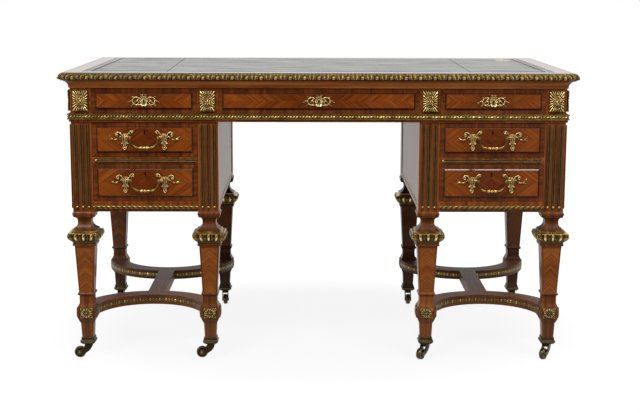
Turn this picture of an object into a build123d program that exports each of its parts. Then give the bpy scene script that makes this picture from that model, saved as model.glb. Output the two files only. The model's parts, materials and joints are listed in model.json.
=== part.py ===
from build123d import *
from collections import namedtuple
import math
import os

# Bureau mazarin: a kneehole writing desk on eight square baluster legs, kingwood veneer with gilt brass
# mounts, three drawers in the frieze and two in each pedestal. Millimetres, +Z up, front towards -Y,
# origin on the floor under the middle of the desk.

# ---- overall sizes
desk_width = 1365.0          # over the brass edge
desk_depth = 737.0
desk_height = 780.0
kneehole_width = 532.0
edge_overhang = 28.5         # brass edge beyond the carcass faces
post_width = 54.5            # square corner posts, faced as pilasters

# ---- heights of the carcass, from the top down
edge_height = 17.0
cornice_height = 23.5
frieze_opening = 68.0
frieze_rail = 21.5
upper_opening = 93.5
middle_rail = 17.5
lower_opening = 101.0
base_rail = 28.5

# ---- boards of the carcass
rail_thickness = 22.0
panel_thickness = 20.0
panel_recess = 2.0           # panels lie this far behind the faces of the posts
dust_board = 10.0
guide_height = 16.0
runner_bearing = 13.0        # how far a runner reaches under a drawer
partition_thickness = 20.0

# ---- top
edge_depth = 14.0            # brass edge moulding beyond the board
edge_heel = 10.0             # depth of its underside
edge_nose = 0.25             # height of its widest line, as a share of the moulding
edge_shoulder = 2.0          # flat on its top
edge_round = 3.4             # swell of the ovolo above the nose
edge_tuck = 1.2              # and below it
leather_border = 42.0
leather_thickness = 1.2
leather_seam = 406.0         # the two butt seams from the middle

# ---- mouldings
cornice_projection = 20.0
cornice_fillet = 3.0
cornice_hollow = 4.0
band_height = 15.0           # gilt leaf band at the head of the frieze rail
band_projection = 7.7
band_fillet = 3.0            # depth of the band before its round starts
ledge_projection = 4.0       # wooden ledge that carries the band
strip_height = 10.0          # rope-twist strip on the base rails
strip_projection = 3.0
strip_lift = 7.5             # from the foot of the pedestal to the strip

# ---- flutes of the pilasters and of the rail between the drawers
flute_width = 8.0
flute_depth = 3.0
flute_pitch = 15.7
flute_count = 3
flute_margin = 8.0           # from the end of a flute to the end of its post
lining_thickness = 2.0

# ---- fielded drawer fronts and panels
field_margin = 13.0
field_rise = 5.0
field_chamfer = 3.0

# ---- drawers
drawer_gap = 0.75
front_thickness = 22.0
side_thickness = 10.0
side_headroom = 12.0         # opening above the drawer sides
drawer_back_space = 12.0
bottom_thickness = 6.0
bottom_lift = 8.0
groove_depth = 4.0
lap_length = 14.0            # lapped dovetails into the back of the front
tail_pitch = 40.0
tail_share = 0.62            # part of each pitch that is tail, at its narrow end
tail_flare = 3.0             # how much wider a tail is at its end

# ---- locks and keyholes
lock_width = 46.0
lock_drop = 17.0             # lock case below the keyhole
lock_mortise = 5.0
lock_stand = 4.0             # lock case behind the drawer front
keyhole_radius = 2.6
keyhole_slot = 9.0
keyhole_below_field_top = 12.0

# ---- escutcheons of the frieze drawers
escutcheon_thickness = 2.5
escutcheon_height = 33.0
escutcheon_width = 22.0
scroll_radius = 10.5
scroll_eye = 5.0
scroll_offset = 20.0
escutcheon_tip = 2.5         # how far the tips droop
escutcheon_reach = 44.0      # from the middle to each tip

# ---- bail handles of the pedestal drawers; the right plate's corners run round from its pendant leaf over
# ---- the scroll arm to the scroll above the pivot, from the middle of the handle and from the pivot's height
bail_span = 74.0             # between the centre lines of its arms
bail_drop = 29.0
bail_section = 6.0           # across the flats
bail_corner = 17.0
bail_corner_cut = 5.1        # the corner's middle point, in from each straight
knop_radius = 4.2            # collar in the middle of the bail
knop_length = 6.0
knop_rise = 1.5
bail_rise = 8.0              # pivot above the middle of the field
pivot_stand = 13.0           # pivot in front of the drawer field
pin_radius = 1.9
pin_clearance = 0.05
pin_length = 7.0
pin_side_gap = 0.4
pin_end_gap = 1.0
handle_post_size = 9.0
plate_thickness = 2.5
plate_leaf = ((43, -5), (43, -17), (47.5, -24), (52.5, -35), (57, -24), (61, -17), (60, -5))
plate_arm = ((72, -9), (85, -10), (93.5, 4.5), (84, -3), (76, -2), (77, 9), (69, 13.5), (61, 10), (57, 4), (51.5, 9))
plate_scroll = ((47, 5), (41, 13), (34, 18), (28.5, 14), (32, 9.5), (38, 8))

# ---- legs, heights from the castor up, with the long taper taking up what is left
castor_height = 41.0
cup_floor = 3.0
ankle_height = 58.0
bulge_height = 56.0
block_height = 20.0
bead_height = 9.0
fillet_height = 7.0
collar_height = 36.0
flare_height = 16.0
neck_height = 8.0
cavetto_height = 12.0
cap_height = 14.5

# ---- half widths of the legs at the same levels
ankle_foot = 14.5
ankle_top = 17.5
block_half = 19.0
bulge_rise = 7.5
bead_rise = 3.5
taper_foot = 20.0
taper_top = 27.0
fillet_half = 31.5
core_half = 24.0
flare_half = 31.0
neck_half = 18.0
neck_hollow = 4.0            # how far the curves over and under the neck stand out halfway
cavetto_half = 28.5
cap_rise = 3.4               # round of the cap beyond the post

# ---- gadrooned collars
collar_half = 45.8
collar_top_half = 34.0
collar_foot_half = 33.5
collar_lip = 3.0
lobes_per_side = 4           # pitches from corner lobe to corner lobe
lobe_notch = 5.0             # depth of the notches between lobes
lobe_notch_width = 6.0
collar_levels = (0.35, 0.55, 0.8)  # swell, widest line and shoulder, as shares of its height

# ---- foot cups and castors
cup_half = 20.5
cup_height = 19.0
cup_wall = 2.5
stem_radius = 4.0
stem_clearance = 0.05
socket_clearance = 0.5       # round the stem inside the leg
socket_space = 1.0           # and above its end
stem_length = 26.0
swivel_gap = 0.3
horn_plate_radius = 11.0
horn_plate_thickness = 3.0
horn_neck_half = 3.0         # the horn starts this far inside its plate's edge
crown_height = 6.0
crown_clearance = 1.5        # between the crown and the wheel
wheel_radius = 15.8
wheel_width = 13.0
wheel_side_gap = 0.4
cheek_thickness = 3.0
castor_trail = 24.0
axle_radius = 2.5
axle_clearance = 0.05
axle_boss_radius = 6.0
horn_waist = (3.6, 4.8)      # corners of the horn beside the axle: behind and below it,
horn_crest = (4.8, 3.6)      # in front and above it

# ---- stretchers
stretcher_width = 50.0
stretcher_thickness = 27.0
bow_centre_outside = 14.0    # centre of each bow, beyond its legs' centre line
stretcher_bed = 2.0          # how far the ends bed onto the legs' round blocks
bar_bed = 6.0                # overlap that the cross bar's ends are scribed from
bar_width = 48.0
leaf_strip_height = 10.0
leaf_strip_thickness = 1.5

# ---- rosettes
tile_width = 41.0
tile_height = 57.0
tile_thickness = 4.0
tile_waist = 3.0             # how far its sides draw in between the corners
boss_taper = 30.0            # degrees
flower_width = 38.0
flower_height = 31.0
flower_thickness = 2.0       # in front of the leg's round block
flower_taper = 12.0          # degrees
flower_bed = 2.5             # how far it beds onto the round at its edges

# ---- how the castors stand: degrees of swivel from +X, by leg, outer left to outer right
front_castor_angles = (180, 180, 236, 240)
rear_castor_angles = (262, 275, 268, 280)

# ==== levels and planes that follow from the sizes
board_bottom = desk_height - edge_height
frieze_top = board_bottom - cornice_height
frieze_bottom = frieze_top - frieze_opening
pedestal_top = frieze_bottom - frieze_rail
upper_bottom = pedestal_top - upper_opening
lower_top = upper_bottom - middle_rail
lower_bottom = lower_top - lower_opening
pedestal_bottom = lower_bottom - base_rail

case_x = desk_width / 2 - edge_overhang
case_y = desk_depth / 2 - edge_overhang
inner_x = kneehole_width / 2
outer_post_x = case_x - post_width
inner_post_x = inner_x + post_width
post_y = case_y - post_width
rail_y = case_y - rail_thickness
leg_xs = (case_x - post_width / 2, inner_x + post_width / 2)
leg_y = case_y - post_width / 2
pedestal_x = (case_x + inner_x) / 2

ankle_bottom = castor_height + cup_floor
bulge_bottom = ankle_bottom + ankle_height
block_bottom = bulge_bottom + bulge_height
bead_bottom = block_bottom + block_height
taper_bottom = bead_bottom + bead_height
neck_top = pedestal_bottom - cap_height - cavetto_height
flare_top = neck_top - neck_height
collar_top = flare_top - flare_height
collar_bottom = collar_top - collar_height
taper_end = collar_bottom - fillet_height
bulge_middle = bulge_bottom + bulge_height / 2

drawer_back = case_y - rail_thickness - drawer_back_space
field_face = -case_y - field_rise

Bay = namedtuple("Bay", "name x0 x1 z0 z1")


def block(x0, x1, y0, y1, z0, z1):
    """Rectangular board between two opposite corners."""
    return Pos((x0 + x1) / 2, (y0 + y1) / 2, (z0 + z1) / 2) * Box(abs(x1 - x0), abs(y1 - y0), abs(z1 - z0))


def outline(points):
    """Closed face through points (x, y, sagitta), counter-clockwise. The sagitta bows the edge that
    leads to its point: outward where positive, hollow where negative."""
    edges = []
    for (x0, y0, _), (x1, y1, sagitta) in zip([points[-1]] + points[:-1], points):
        if sagitta:
            edges.append(SagittaArc((x0, y0), (x1, y1), -sagitta))
        else:
            edges.append(Line((x0, y0), (x1, y1)))
    return make_face(edges)


def small_round(radius, bore=False):
    """Round of twelve flats for pins and their bores: a pin's corners are on the radius, a bore's flats."""
    return RegularPolygon(radius, 12, major_radius=not bore)


def square_turned(steps):
    """Square-section baluster: one silhouette of (half width, height, sagitta) cut from two sides."""
    falling = list(reversed(steps))
    left = [(-falling[0][0], falling[0][1], 0)]
    for above, below in zip(falling, falling[1:]):
        left.append((-below[0], below[1], above[2]))
    face = outline(steps + left)
    reach = 2 * max(half for half, _, _ in steps)
    across = extrude(Plane.XZ * face, reach, both=True)
    along = extrude(Plane.YZ * face, reach, both=True)
    return across & along


def mitred_lengths(section, half_x, half_y, reach):
    """Four lengths of one moulding, mitred round a rectangle; the section's x points outward."""
    face = outline(section)
    lengths = []
    for distance, half, angle in ((half_x, half_y, 0), (half_y, half_x, 90),
                                  (half_x, half_y, 180), (half_y, half_x, 270)):
        stick = extrude(Plane.XZ * Pos(distance, 0) * face, half + 2 * reach, both=True)
        mitre = Polygon((distance - reach, reach - half), (distance + reach, -half - reach),
                        (distance + reach, half + reach), (distance - reach, half - reach), align=None)
        lengths.append(Rot(0, 0, angle) * (stick & extrude(mitre, 2 * desk_height)))
    return lengths


def raised_field(x0, x1, z0, z1):
    """Chamfered panel field that stands in front of the plane y = 0, with its margin all round."""
    width = x1 - x0 - 2 * field_margin
    height = z1 - z0 - 2 * field_margin
    panel = Pos((x0 + x1) / 2, -field_rise / 2, (z0 + z1) / 2) * Box(width, field_rise, height)
    return chamfer(panel.faces().sort_by(Axis.Y)[0].edges(), field_chamfer)


def save(name, solids):
    """Write one sub-part; several like pieces stay separate solids in its file."""
    solids = [solid for shape in solids for solid in shape.solids()]
    shape = solids[0] if len(solids) == 1 else Compound(children=solids)
    shape.label = name
    export_step(shape, f"parts/{name}.step")


def both_sides(shapes):
    """The shapes and their mirror images across the desk's middle plane."""
    return list(shapes) + [mirror(shape, Plane.YZ) for shape in shapes]


# ==== top: board, leather and brass edge
def build_top():
    """Veneered board with a sunk leather lining inside a mitred brass ovolo edge."""
    board_x = desk_width / 2 - edge_depth
    board_y = desk_depth / 2 - edge_depth
    lining_x = board_x - leather_border
    lining_y = board_y - leather_border
    sunk = desk_height - leather_thickness
    board = block(-board_x, board_x, -board_y, board_y, board_bottom, desk_height)
    board -= block(-lining_x, lining_x, -lining_y, lining_y, sunk, desk_height)
    seams = (-lining_x, -leather_seam, leather_seam, lining_x)
    skins = [block(x0, x1, -lining_y, lining_y, sunk, desk_height) for x0, x1 in zip(seams, seams[1:])]
    nose = board_bottom + edge_nose * edge_height
    ovolo = [(0, board_bottom, 0), (edge_heel, board_bottom, 0), (edge_depth, nose, edge_tuck),
             (edge_shoulder, desk_height, edge_round), (0, desk_height, 0)]
    save("top_board", [board])
    save("writing_leather", skins)
    save("top_edge_moulding", mitred_lengths(ovolo, board_x, board_y, 2 * edge_depth))


# ==== frieze: the drawer case under the top, its cornice, brass band and rosettes
def build_frieze():
    """Rails and stiles round three bays, with partitions, dust board, runners and guides."""
    front = [block(-case_x, case_x, -case_y, -rail_y, z0, z1)
             for z0, z1 in ((pedestal_top, frieze_bottom), (frieze_top, board_bottom))]
    stiles = [block(x0, x1, -case_y, -rail_y, frieze_bottom, frieze_top)
              for x0, x1 in ((inner_x, inner_post_x), (outer_post_x, case_x))]
    end = block(case_x - rail_thickness, case_x, -rail_y, rail_y, pedestal_top, board_bottom)
    end_field = Pos(case_x, 0) * Rot(0, 0, 90) * raised_field(-post_y, post_y, frieze_bottom, frieze_top)
    back = block(-case_x, case_x, rail_y, case_y, pedestal_top, board_bottom)
    for x0, x1 in ((-outer_post_x, -inner_post_x), (-inner_x, inner_x), (inner_post_x, outer_post_x)):
        back += Pos(0, case_y) * Rot(0, 0, 180) * raised_field(x0, x1, frieze_bottom, frieze_top)

    stile_x = (inner_x + inner_post_x) / 2
    dust_top = pedestal_top + dust_board
    wall_x = case_x - rail_thickness
    partition = block(stile_x - partition_thickness / 2, stile_x + partition_thickness / 2,
                      -rail_y, rail_y, frieze_bottom, board_bottom)
    runners = [block(x0, x1, -rail_y, rail_y, dust_top, frieze_bottom)
               for x0, x1 in ((inner_x - runner_bearing, inner_post_x + runner_bearing),
                              (outer_post_x - runner_bearing, wall_x))]
    guide_top = frieze_bottom + guide_height
    guides = [block(x0, x1, -rail_y, rail_y, frieze_bottom, guide_top)
              for x0, x1 in ((inner_x, stile_x - partition_thickness / 2),
                             (stile_x + partition_thickness / 2, inner_post_x),
                             (outer_post_x, wall_x))]
    dust = block(-wall_x, wall_x, -rail_y, rail_y, pedestal_top, dust_top)
    band_bottom = frieze_bottom - band_height
    ledge = mitred_lengths([(0, pedestal_top, 0), (ledge_projection, pedestal_top, 0),
                            (ledge_projection, band_bottom, 0), (0, band_bottom, 0)],
                           case_x, case_y, 2 * ledge_projection)
    sides = both_sides(stiles + [end + end_field, partition] + runners + guides)
    save("frieze_case", front + [back, dust] + sides + ledge)

    cove = [(0, frieze_top, 0), (cornice_fillet, frieze_top, 0), (cornice_fillet, frieze_top + cornice_fillet, 0),
            (cornice_projection - cornice_fillet / 2, board_bottom - cornice_fillet, -cornice_hollow),
            (cornice_projection, board_bottom - cornice_fillet, 0), (cornice_projection, board_bottom, 0),
            (0, board_bottom, 0)]
    save("cornice_moulding", mitred_lengths(cove, case_x, case_y, 2 * cornice_projection))

    band = [(0, band_bottom, 0), (band_fillet, band_bottom, 0),
            (band_fillet, frieze_bottom, band_projection - band_fillet), (0, frieze_bottom, 0)]
    save("frieze_band_moulding", mitred_lengths(band, case_x, case_y, 2 * band_projection))

    tile = acanthus_tile()
    middle = (frieze_bottom + frieze_top) / 2
    faces = [Pos(x, -case_y, middle) for x in leg_xs]
    faces += [Pos(x, case_y, middle) * Rot(0, 0, 180) for x in leg_xs]
    faces += [Pos(case_x, y, middle) * Rot(0, 0, 90) for y in (-leg_y, leg_y)]
    save("frieze_rosettes", both_sides([face * tile for face in faces]))


def acanthus_tile():
    """Oblong leaf tile in front of the plane y = 0: a plate with hollow sides and a raised boss."""
    half_w = tile_width / 2
    half_h = tile_height / 2
    plate = outline([(half_w, half_h, 0), (0, half_h - tile_waist, 0), (-half_w, half_h, 0),
                     (tile_waist - half_w, 0, 0), (-half_w, -half_h, 0), (0, tile_waist - half_h, 0),
                     (half_w, -half_h, 0), (half_w - tile_waist, 0, 0)])
    plate = extrude(Plane.XZ * plate, tile_thickness / 2)
    boss = extrude(Plane.XZ * RegularPolygon(half_w - 2 * tile_waist, 8), tile_thickness, taper=boss_taper)
    return plate + boss


# ==== pedestals: posts, panels, rails and what the drawers run on
def flutes(length):
    """Strips side by side, centred on the origin in the plane z = 0."""
    return [Pos((index - (flute_count - 1) / 2) * flute_pitch, 0) * Rectangle(flute_width, length)
            for index in range(flute_count)]


def fluted_faces(x, y, turns):
    """Placings of the flute pattern on chosen faces of the post at (x, y), as planes facing outward."""
    middle = (pedestal_bottom + pedestal_top) / 2
    return [Pos(x, y, middle) * Rot(0, 0, turn) * Pos(0, -post_width / 2, 0) * Rot(90, 0, 0)
            for turn in turns]


def build_pedestal(bays):
    """The right-hand pedestal with its brass linings; returns boards and linings."""
    flute_length = pedestal_top - pedestal_bottom - 2 * flute_margin
    boards = []
    linings = []
    for x, turns in ((leg_xs[0], (0, 90)), (leg_xs[1], (0,))):
        post = Pos(x, -leg_y, (pedestal_bottom + pedestal_top) / 2) * Box(
            post_width, post_width, pedestal_top - pedestal_bottom)
        for face in fluted_faces(x, -leg_y, turns):
            for slot in flutes(flute_length):
                post -= face * extrude(slot, -flute_depth)
                floor = extrude(slot, lining_thickness)
                linings.append(face * Pos(0, 0, -flute_depth) * floor)
        boards.append(post)
    boards += [mirror(post, Plane.XZ) for post in boards]
    linings += [mirror(lining, Plane.XZ) for lining in linings]

    outer_face = case_x - panel_recess
    outer_inside = outer_face - panel_thickness
    inner_face = inner_x + panel_recess
    inner_inside = inner_face + panel_thickness
    side = block(outer_inside, outer_face, -post_y, post_y, pedestal_bottom, pedestal_top)
    side += Pos(outer_face, 0) * Rot(0, 0, 90) * raised_field(-post_y, post_y, lower_bottom, pedestal_top)
    knee = block(inner_face, inner_inside, -post_y, post_y, pedestal_bottom, pedestal_top)
    back_face = case_y - panel_recess
    back = block(inner_post_x, outer_post_x, back_face - panel_thickness, back_face,
                 pedestal_bottom, pedestal_top)
    for bay in bays:
        back += Pos(0, back_face) * Rot(0, 0, 180) * raised_field(-bay.x1, -bay.x0, bay.z0, bay.z1)

    rail_middle = (lower_top + upper_bottom) / 2
    rail = block(inner_post_x, outer_post_x, -case_y, -rail_y, lower_top, upper_bottom)
    flute = Rectangle(outer_post_x - inner_post_x - flute_margin, flute_width)
    face = Pos(pedestal_x, -case_y, rail_middle) * Rot(90, 0, 0)
    rail -= face * extrude(flute, -flute_depth)
    linings.append(face * Pos(0, 0, -flute_depth) * extrude(flute, lining_thickness))
    base = block(inner_post_x, outer_post_x, -case_y, -rail_y, pedestal_bottom, lower_bottom)
    floor = block(inner_post_x, outer_post_x, -rail_y, back_face - panel_thickness,
                  pedestal_bottom, pedestal_bottom + dust_board)
    boards += [side, knee, back, rail, base, floor]

    for z0, z1 in ((pedestal_bottom + dust_board, lower_bottom), (lower_top, upper_bottom)):
        boards.append(block(inner_inside, inner_post_x + runner_bearing, -post_y, post_y, z0, z1))
        boards.append(block(outer_post_x - runner_bearing, outer_inside, -post_y, post_y, z0, z1))
        boards.append(block(inner_inside, inner_post_x, -post_y, post_y, z1, z1 + guide_height))
        boards.append(block(outer_post_x, outer_inside, -post_y, post_y, z1, z1 + guide_height))
    return boards, linings


def build_base_strips():
    """Half-round rope-twist strips along the foot of the pedestals, front, back and both sides."""
    middle = pedestal_bottom + strip_lift + strip_height / 2
    section = outline([(0, -strip_height / 2, 0), (0, strip_height / 2, strip_projection)])
    across = outer_post_x - inner_post_x
    along = 2 * post_y
    strips = []
    for x, y, turn, length in ((pedestal_x, -case_y, 0, across), (case_x - panel_recess, 0, 90, along),
                               (pedestal_x, case_y - panel_recess, 180, across),
                               (inner_x + panel_recess, 0, 270, along)):
        stick = extrude(Plane.YZ * Rot(0, 180, 0) * section, length / 2, both=True)
        strips.append(Pos(x, y, middle) * Rot(0, 0, turn) * stick)
    return strips


# ==== legs
def build_legs():
    """Square balusters, solid for one pedestal, with their brass collars, cups and flowers."""
    steps = [
        (ankle_foot, ankle_bottom, 0),
        (ankle_top, bulge_bottom, 0),
        (block_half, bulge_bottom, 0),
        (block_half, block_bottom, bulge_rise),
        (block_half, bead_bottom, 0),
        (taper_foot, bead_bottom, 0),
        (taper_foot + bead_rise, bead_bottom + bead_height / 3, 0),
        (taper_foot + bead_rise, taper_bottom - bead_height / 3, 0),
        (taper_foot, taper_bottom, 0),
        (taper_top, taper_end, 0),
        (fillet_half, taper_end, 0),
        (fillet_half, collar_bottom, 0),
        (core_half, collar_bottom, 0),
        (core_half, collar_top, 0),
        (flare_half, collar_top, 0),
        (neck_half + neck_hollow, collar_top + flare_height / 2, 0),
        (neck_half, flare_top, 0),
        (neck_half, neck_top, 0),
        (neck_half + neck_hollow, neck_top + cavetto_height / 2, 0),
        (cavetto_half, neck_top + cavetto_height, 0),
        (post_width / 2, neck_top + cavetto_height, 0),
        (post_width / 2 + cap_rise, neck_top + cavetto_height + cap_height / 3, 0),
        (post_width / 2 + cap_rise, pedestal_bottom - cap_height / 3, 0),
        (post_width / 2, pedestal_bottom, 0),
    ]
    socket_depth = castor_height + stem_length - ankle_bottom + socket_space
    leg = square_turned(steps) - Pos(0, 0, ankle_bottom) * extrude(
        small_round(stem_radius + socket_clearance, bore=True), socket_depth)

    cup_top = castor_height + cup_height
    cup = square_turned([
        (ankle_foot, castor_height, 0),
        (cup_half, castor_height + cup_height / 4, 0),
        (cup_half, castor_height + cup_height / 2, 0),
        (ankle_foot + cup_wall, castor_height + 3 * cup_height / 4, 0),
        (ankle_foot + cup_wall, cup_top, 0),
    ])
    ankle_at_cup_top = ankle_foot + (ankle_top - ankle_foot) * (cup_top - ankle_bottom) / ankle_height
    cup -= square_turned([(ankle_foot, ankle_bottom, 0), (ankle_at_cup_top, cup_top, 0)])
    cup -= Pos(0, 0, castor_height) * extrude(small_round(stem_radius + stem_clearance, bore=True), cup_floor)

    flower = Pos(0, flower_bed - block_half - bulge_rise, bulge_middle) * leg_flower() - leg
    flowers = [Rot(0, 0, turn) * flower for turn in (0, 90, 270)]
    return leg, gadroon_collar(), cup, flowers


def gadroon_collar():
    """Brass collar bored square for the leg's core: a square bulb between lips, notched into gadroons."""
    swell, widest, shoulder = (collar_bottom + level * collar_height for level in collar_levels)
    collar = square_turned([
        (collar_foot_half, collar_bottom, 0),
        (collar_half - lobe_notch / 2, swell, 0),
        (collar_half, widest, 0),
        (collar_half - lobe_notch, shoulder, 0),
        (collar_top_half, collar_top - collar_lip, 0),
        (collar_top_half, collar_top, 0),
    ])
    collar -= block(-core_half, core_half, -core_half, core_half, collar_bottom, collar_top)
    pitch = 2 * collar_half / lobes_per_side
    notch_half = lobe_notch_width / 2
    notch = extrude(outline([(collar_half - lobe_notch, 0, 0), (collar_half, -notch_half, 0),
                             (collar_half, notch_half, 0)]), collar_height)
    for side in range(4):
        for index in range(lobes_per_side):
            along = (index + 0.5) * pitch - collar_half
            collar -= Rot(0, 0, 90 * side) * Pos(0, along, collar_bottom) * notch
    return collar


def leg_flower():
    """Oblong flower tile in front of the plane y = 0."""
    return extrude(Plane.XZ * Rectangle(flower_width, flower_height), flower_bed + flower_thickness,
                   taper=flower_taper)


# ==== castors
def build_castor():
    """Horn with its stem and axle, and the wheel, for a castor that trails towards +X."""
    horn_top = castor_height - swivel_gap
    plate = Pos(0, 0, horn_top) * extrude(RegularPolygon(horn_plate_radius, 8), -horn_plate_thickness)
    stem = Pos(0, 0, horn_top) * extrude(small_round(stem_radius), stem_length)
    cheek_inside = wheel_width / 2 + wheel_side_gap
    cheek_outside = cheek_inside + cheek_thickness
    plate_bottom = horn_top - horn_plate_thickness
    neck_back = horn_neck_half - horn_plate_radius
    boss = Pos(castor_trail, wheel_radius) * RegularPolygon(axle_boss_radius, 8)
    horn = outline([(neck_back, plate_bottom, 0), (neck_back, plate_bottom - crown_height, 0),
                    (castor_trail - horn_waist[0], wheel_radius - horn_waist[1], 0),
                    (castor_trail + horn_crest[0], wheel_radius + horn_crest[1], 0),
                    (horn_plate_radius, plate_bottom, 0)])
    cheeks = [extrude(Plane.XZ.offset(offset) * (horn + boss), cheek_thickness)
              for offset in (cheek_inside, -cheek_outside)]
    crown = block(neck_back, castor_trail - wheel_radius - crown_clearance, -cheek_inside, cheek_inside,
                  plate_bottom - crown_height, plate_bottom)
    axle_line = Pos(castor_trail, 0, wheel_radius) * Rot(90, 0, 0)
    axle = axle_line * extrude(small_round(axle_radius), cheek_inside, both=True)
    fork = plate + stem + cheeks[0] + cheeks[1] + crown + axle
    tread = RegularPolygon(wheel_radius, 24) - small_round(axle_radius + axle_clearance, bore=True)
    return fork, axle_line * extrude(tread, wheel_width / 2, both=True)


# ==== stretchers
def build_stretchers(legs):
    """Two bows that hollow outward, a cross bar between their crowns, and leaf strips on the bows."""
    z0 = bulge_middle - stretcher_thickness / 2
    z1 = bulge_middle + stretcher_thickness / 2
    strip_z = bulge_middle - leaf_strip_height / 2
    centre_y = -leg_y - bow_centre_outside
    face_y = -leg_y + block_half + bulge_rise
    middle_radius = math.hypot((leg_xs[0] - leg_xs[1]) / 2, face_y - centre_y)
    inner_radius = middle_radius - stretcher_width / 2
    outer_radius = middle_radius + stretcher_width / 2

    def ring(inside, outside, end_y, bottom, height):
        shape = Pos(0, centre_y, bottom) * extrude(Circle(outside) - Circle(inside), height)
        return shape & block(-2 * outer_radius, 2 * outer_radius, end_y, 0, bottom, bottom + height)

    bow = ring(inner_radius, outer_radius, face_y - stretcher_bed, z0, stretcher_thickness)
    for leg in legs:
        bow -= leg
    crown_y = centre_y + outer_radius
    bar = block(-bar_width / 2, bar_width / 2, crown_y - bar_bed, bar_bed - crown_y, z0, z1) - bow
    bar -= mirror(bow, Plane.XZ)
    strips = [ring(inner_radius - leaf_strip_thickness, inner_radius, face_y, strip_z, leaf_strip_height),
              ring(outer_radius, outer_radius + leaf_strip_thickness, face_y, strip_z, leaf_strip_height) - bar]
    bows = [bow, mirror(bow, Plane.XZ)]
    leaf = strips + [mirror(strip, Plane.XZ) for strip in strips]
    return bows + [bar], leaf


# ==== drawers
def tails(y_shoulder, y_end, z0, height, x0, x1):
    """Dovetails across a drawer side from its shoulder to its end, wider at the end."""
    count = max(2, round(height / tail_pitch))
    pitch = height / count
    narrow = tail_share * pitch / 2
    wide = narrow + tail_flare / 2
    shapes = []
    for index in range(count):
        z = z0 + (index + 0.5) * pitch
        tail = outline([(y_shoulder, z - narrow, 0), (y_shoulder, z + narrow, 0), (y_end, z + wide, 0),
                        (y_end, z - wide, 0)])
        shapes.append(Pos(x0, 0) * extrude(Plane.YZ * tail, x1 - x0))
    return shapes


def keyhole(x, z, y0, y1):
    """Round hole over a slot, cut from y0 to y1."""
    shape = RegularPolygon(keyhole_radius, 8) + Pos(0, -keyhole_slot / 2) * Rectangle(keyhole_radius, keyhole_slot)
    return Pos(x, y1, z) * extrude(Plane.XZ * shape, y1 - y0)


def build_drawer(bay, has_bail):
    """Fielded front, dovetailed box, and lock with escutcheon or handle plates; then the bail."""
    x0, x1 = bay.x0 + drawer_gap, bay.x1 - drawer_gap
    z0, z1 = bay.z0 + drawer_gap, bay.z1 - drawer_gap
    middle_x = (x0 + x1) / 2
    middle_z = (bay.z0 + bay.z1) / 2
    shoulder = -case_y + front_thickness
    side_height = bay.z1 - bay.z0 - side_headroom
    back_shoulder = drawer_back - side_thickness
    bottom_z = z0 + bottom_lift
    inside = (x0 + side_thickness, x1 - side_thickness)

    bottom = block(inside[0] - groove_depth, inside[1] + groove_depth, shoulder - groove_depth, drawer_back,
                   bottom_z, bottom_z + bottom_thickness)
    sides = []
    lapped = []
    through = []
    for side_x0, side_x1 in ((x0, inside[0]), (inside[1], x1)):
        side = block(side_x0, side_x1, shoulder, back_shoulder, z0, z0 + side_height)
        front_tails = tails(shoulder, shoulder - lap_length, z0, side_height, side_x0, side_x1)
        back_tails = tails(back_shoulder, drawer_back, z0, side_height, side_x0, side_x1)
        for tail in front_tails + back_tails:
            side += tail
        sides.append(side - bottom)
        lapped += front_tails
        through += back_tails
    back = block(x0, x1, back_shoulder, drawer_back, bottom_z + bottom_thickness, z0 + side_height)
    for tail in through:
        back -= tail

    key_z = bay.z1 - field_margin - keyhole_below_field_top if has_bail else middle_z
    lock = block(middle_x - lock_width / 2, middle_x + lock_width / 2, shoulder - lock_mortise,
                 shoulder + lock_stand, key_z - lock_drop, z1)
    front = block(x0, x1, -case_y, shoulder, z0, z1)
    front += Pos(0, -case_y) * raised_field(bay.x0, bay.x1, bay.z0, bay.z1)
    for cut in lapped + [bottom, lock, keyhole(middle_x, key_z, field_face - 1, shoulder)]:
        front -= cut
    save(f"{bay.name}_drawer_front", [front])
    save(f"{bay.name}_drawer_box", sides + [back, bottom])
    if not has_bail:
        plate = Pos(middle_x, field_face, key_z) * escutcheon()
        plate -= keyhole(middle_x, key_z, field_face - 2 * escutcheon_thickness, field_face)
        save(f"{bay.name}_drawer_mounts", [plate, lock])
        return
    pivot_z = middle_z + bail_rise
    right_plate = Pos(middle_x, field_face, pivot_z) * handle_plate()
    left_plate = Pos(middle_x, field_face, pivot_z) * mirror(handle_plate(), Plane.YZ)
    save(f"{bay.name}_drawer_mounts", [left_plate, right_plate, lock])
    save(f"{bay.name}_drawer_bail", [Pos(middle_x, field_face - pivot_stand, pivot_z) * bail()])


def escutcheon():
    """Pierced scroll escutcheon in front of the plane y = 0."""
    half_h = escutcheon_height / 2
    half_w = escutcheon_width / 2
    shape = Polygon((0, half_h), (-half_w, half_h / 2), (-half_w, -half_h / 2), (0, -half_h),
                    (half_w, -half_h / 2), (half_w, half_h / 2), align=None)
    for side in (-1, 1):
        scroll = side * scroll_offset
        shape += Pos(scroll, 0) * RegularPolygon(scroll_radius, 8)
        shape += outline([(scroll, scroll_eye, 0), (scroll, -scroll_eye, 0),
                          (side * escutcheon_reach, -escutcheon_tip, 0)])
    for side in (-1, 1):
        shape -= Pos(side * scroll_offset, 0) * RegularPolygon(scroll_eye, 8)
    return extrude(Plane.XZ * shape, escutcheon_thickness)


def handle_plate():
    """Right-hand leaf-and-scroll plate with its pivot post; the origin is the middle of the handle."""
    post_x = bail_span / 2 + bail_section / 2 + pin_side_gap + handle_post_size / 2
    shape = Polygon(*plate_leaf, *plate_arm, *plate_scroll, align=None)
    plate = extrude(Plane.XZ * shape, plate_thickness)
    half = handle_post_size / 2
    post = block(post_x - half, post_x + half, -pivot_stand - half, 0, -half, half)
    post = chamfer(post.faces().sort_by(Axis.Y)[0].edges(), half / 2)
    hole = Pos(post_x - half, -pivot_stand, 0) * Rot(0, 90, 0) * extrude(
        small_round(pin_radius + pin_clearance, bore=True), pin_length + pin_end_gap)
    return plate + post - hole


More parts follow.
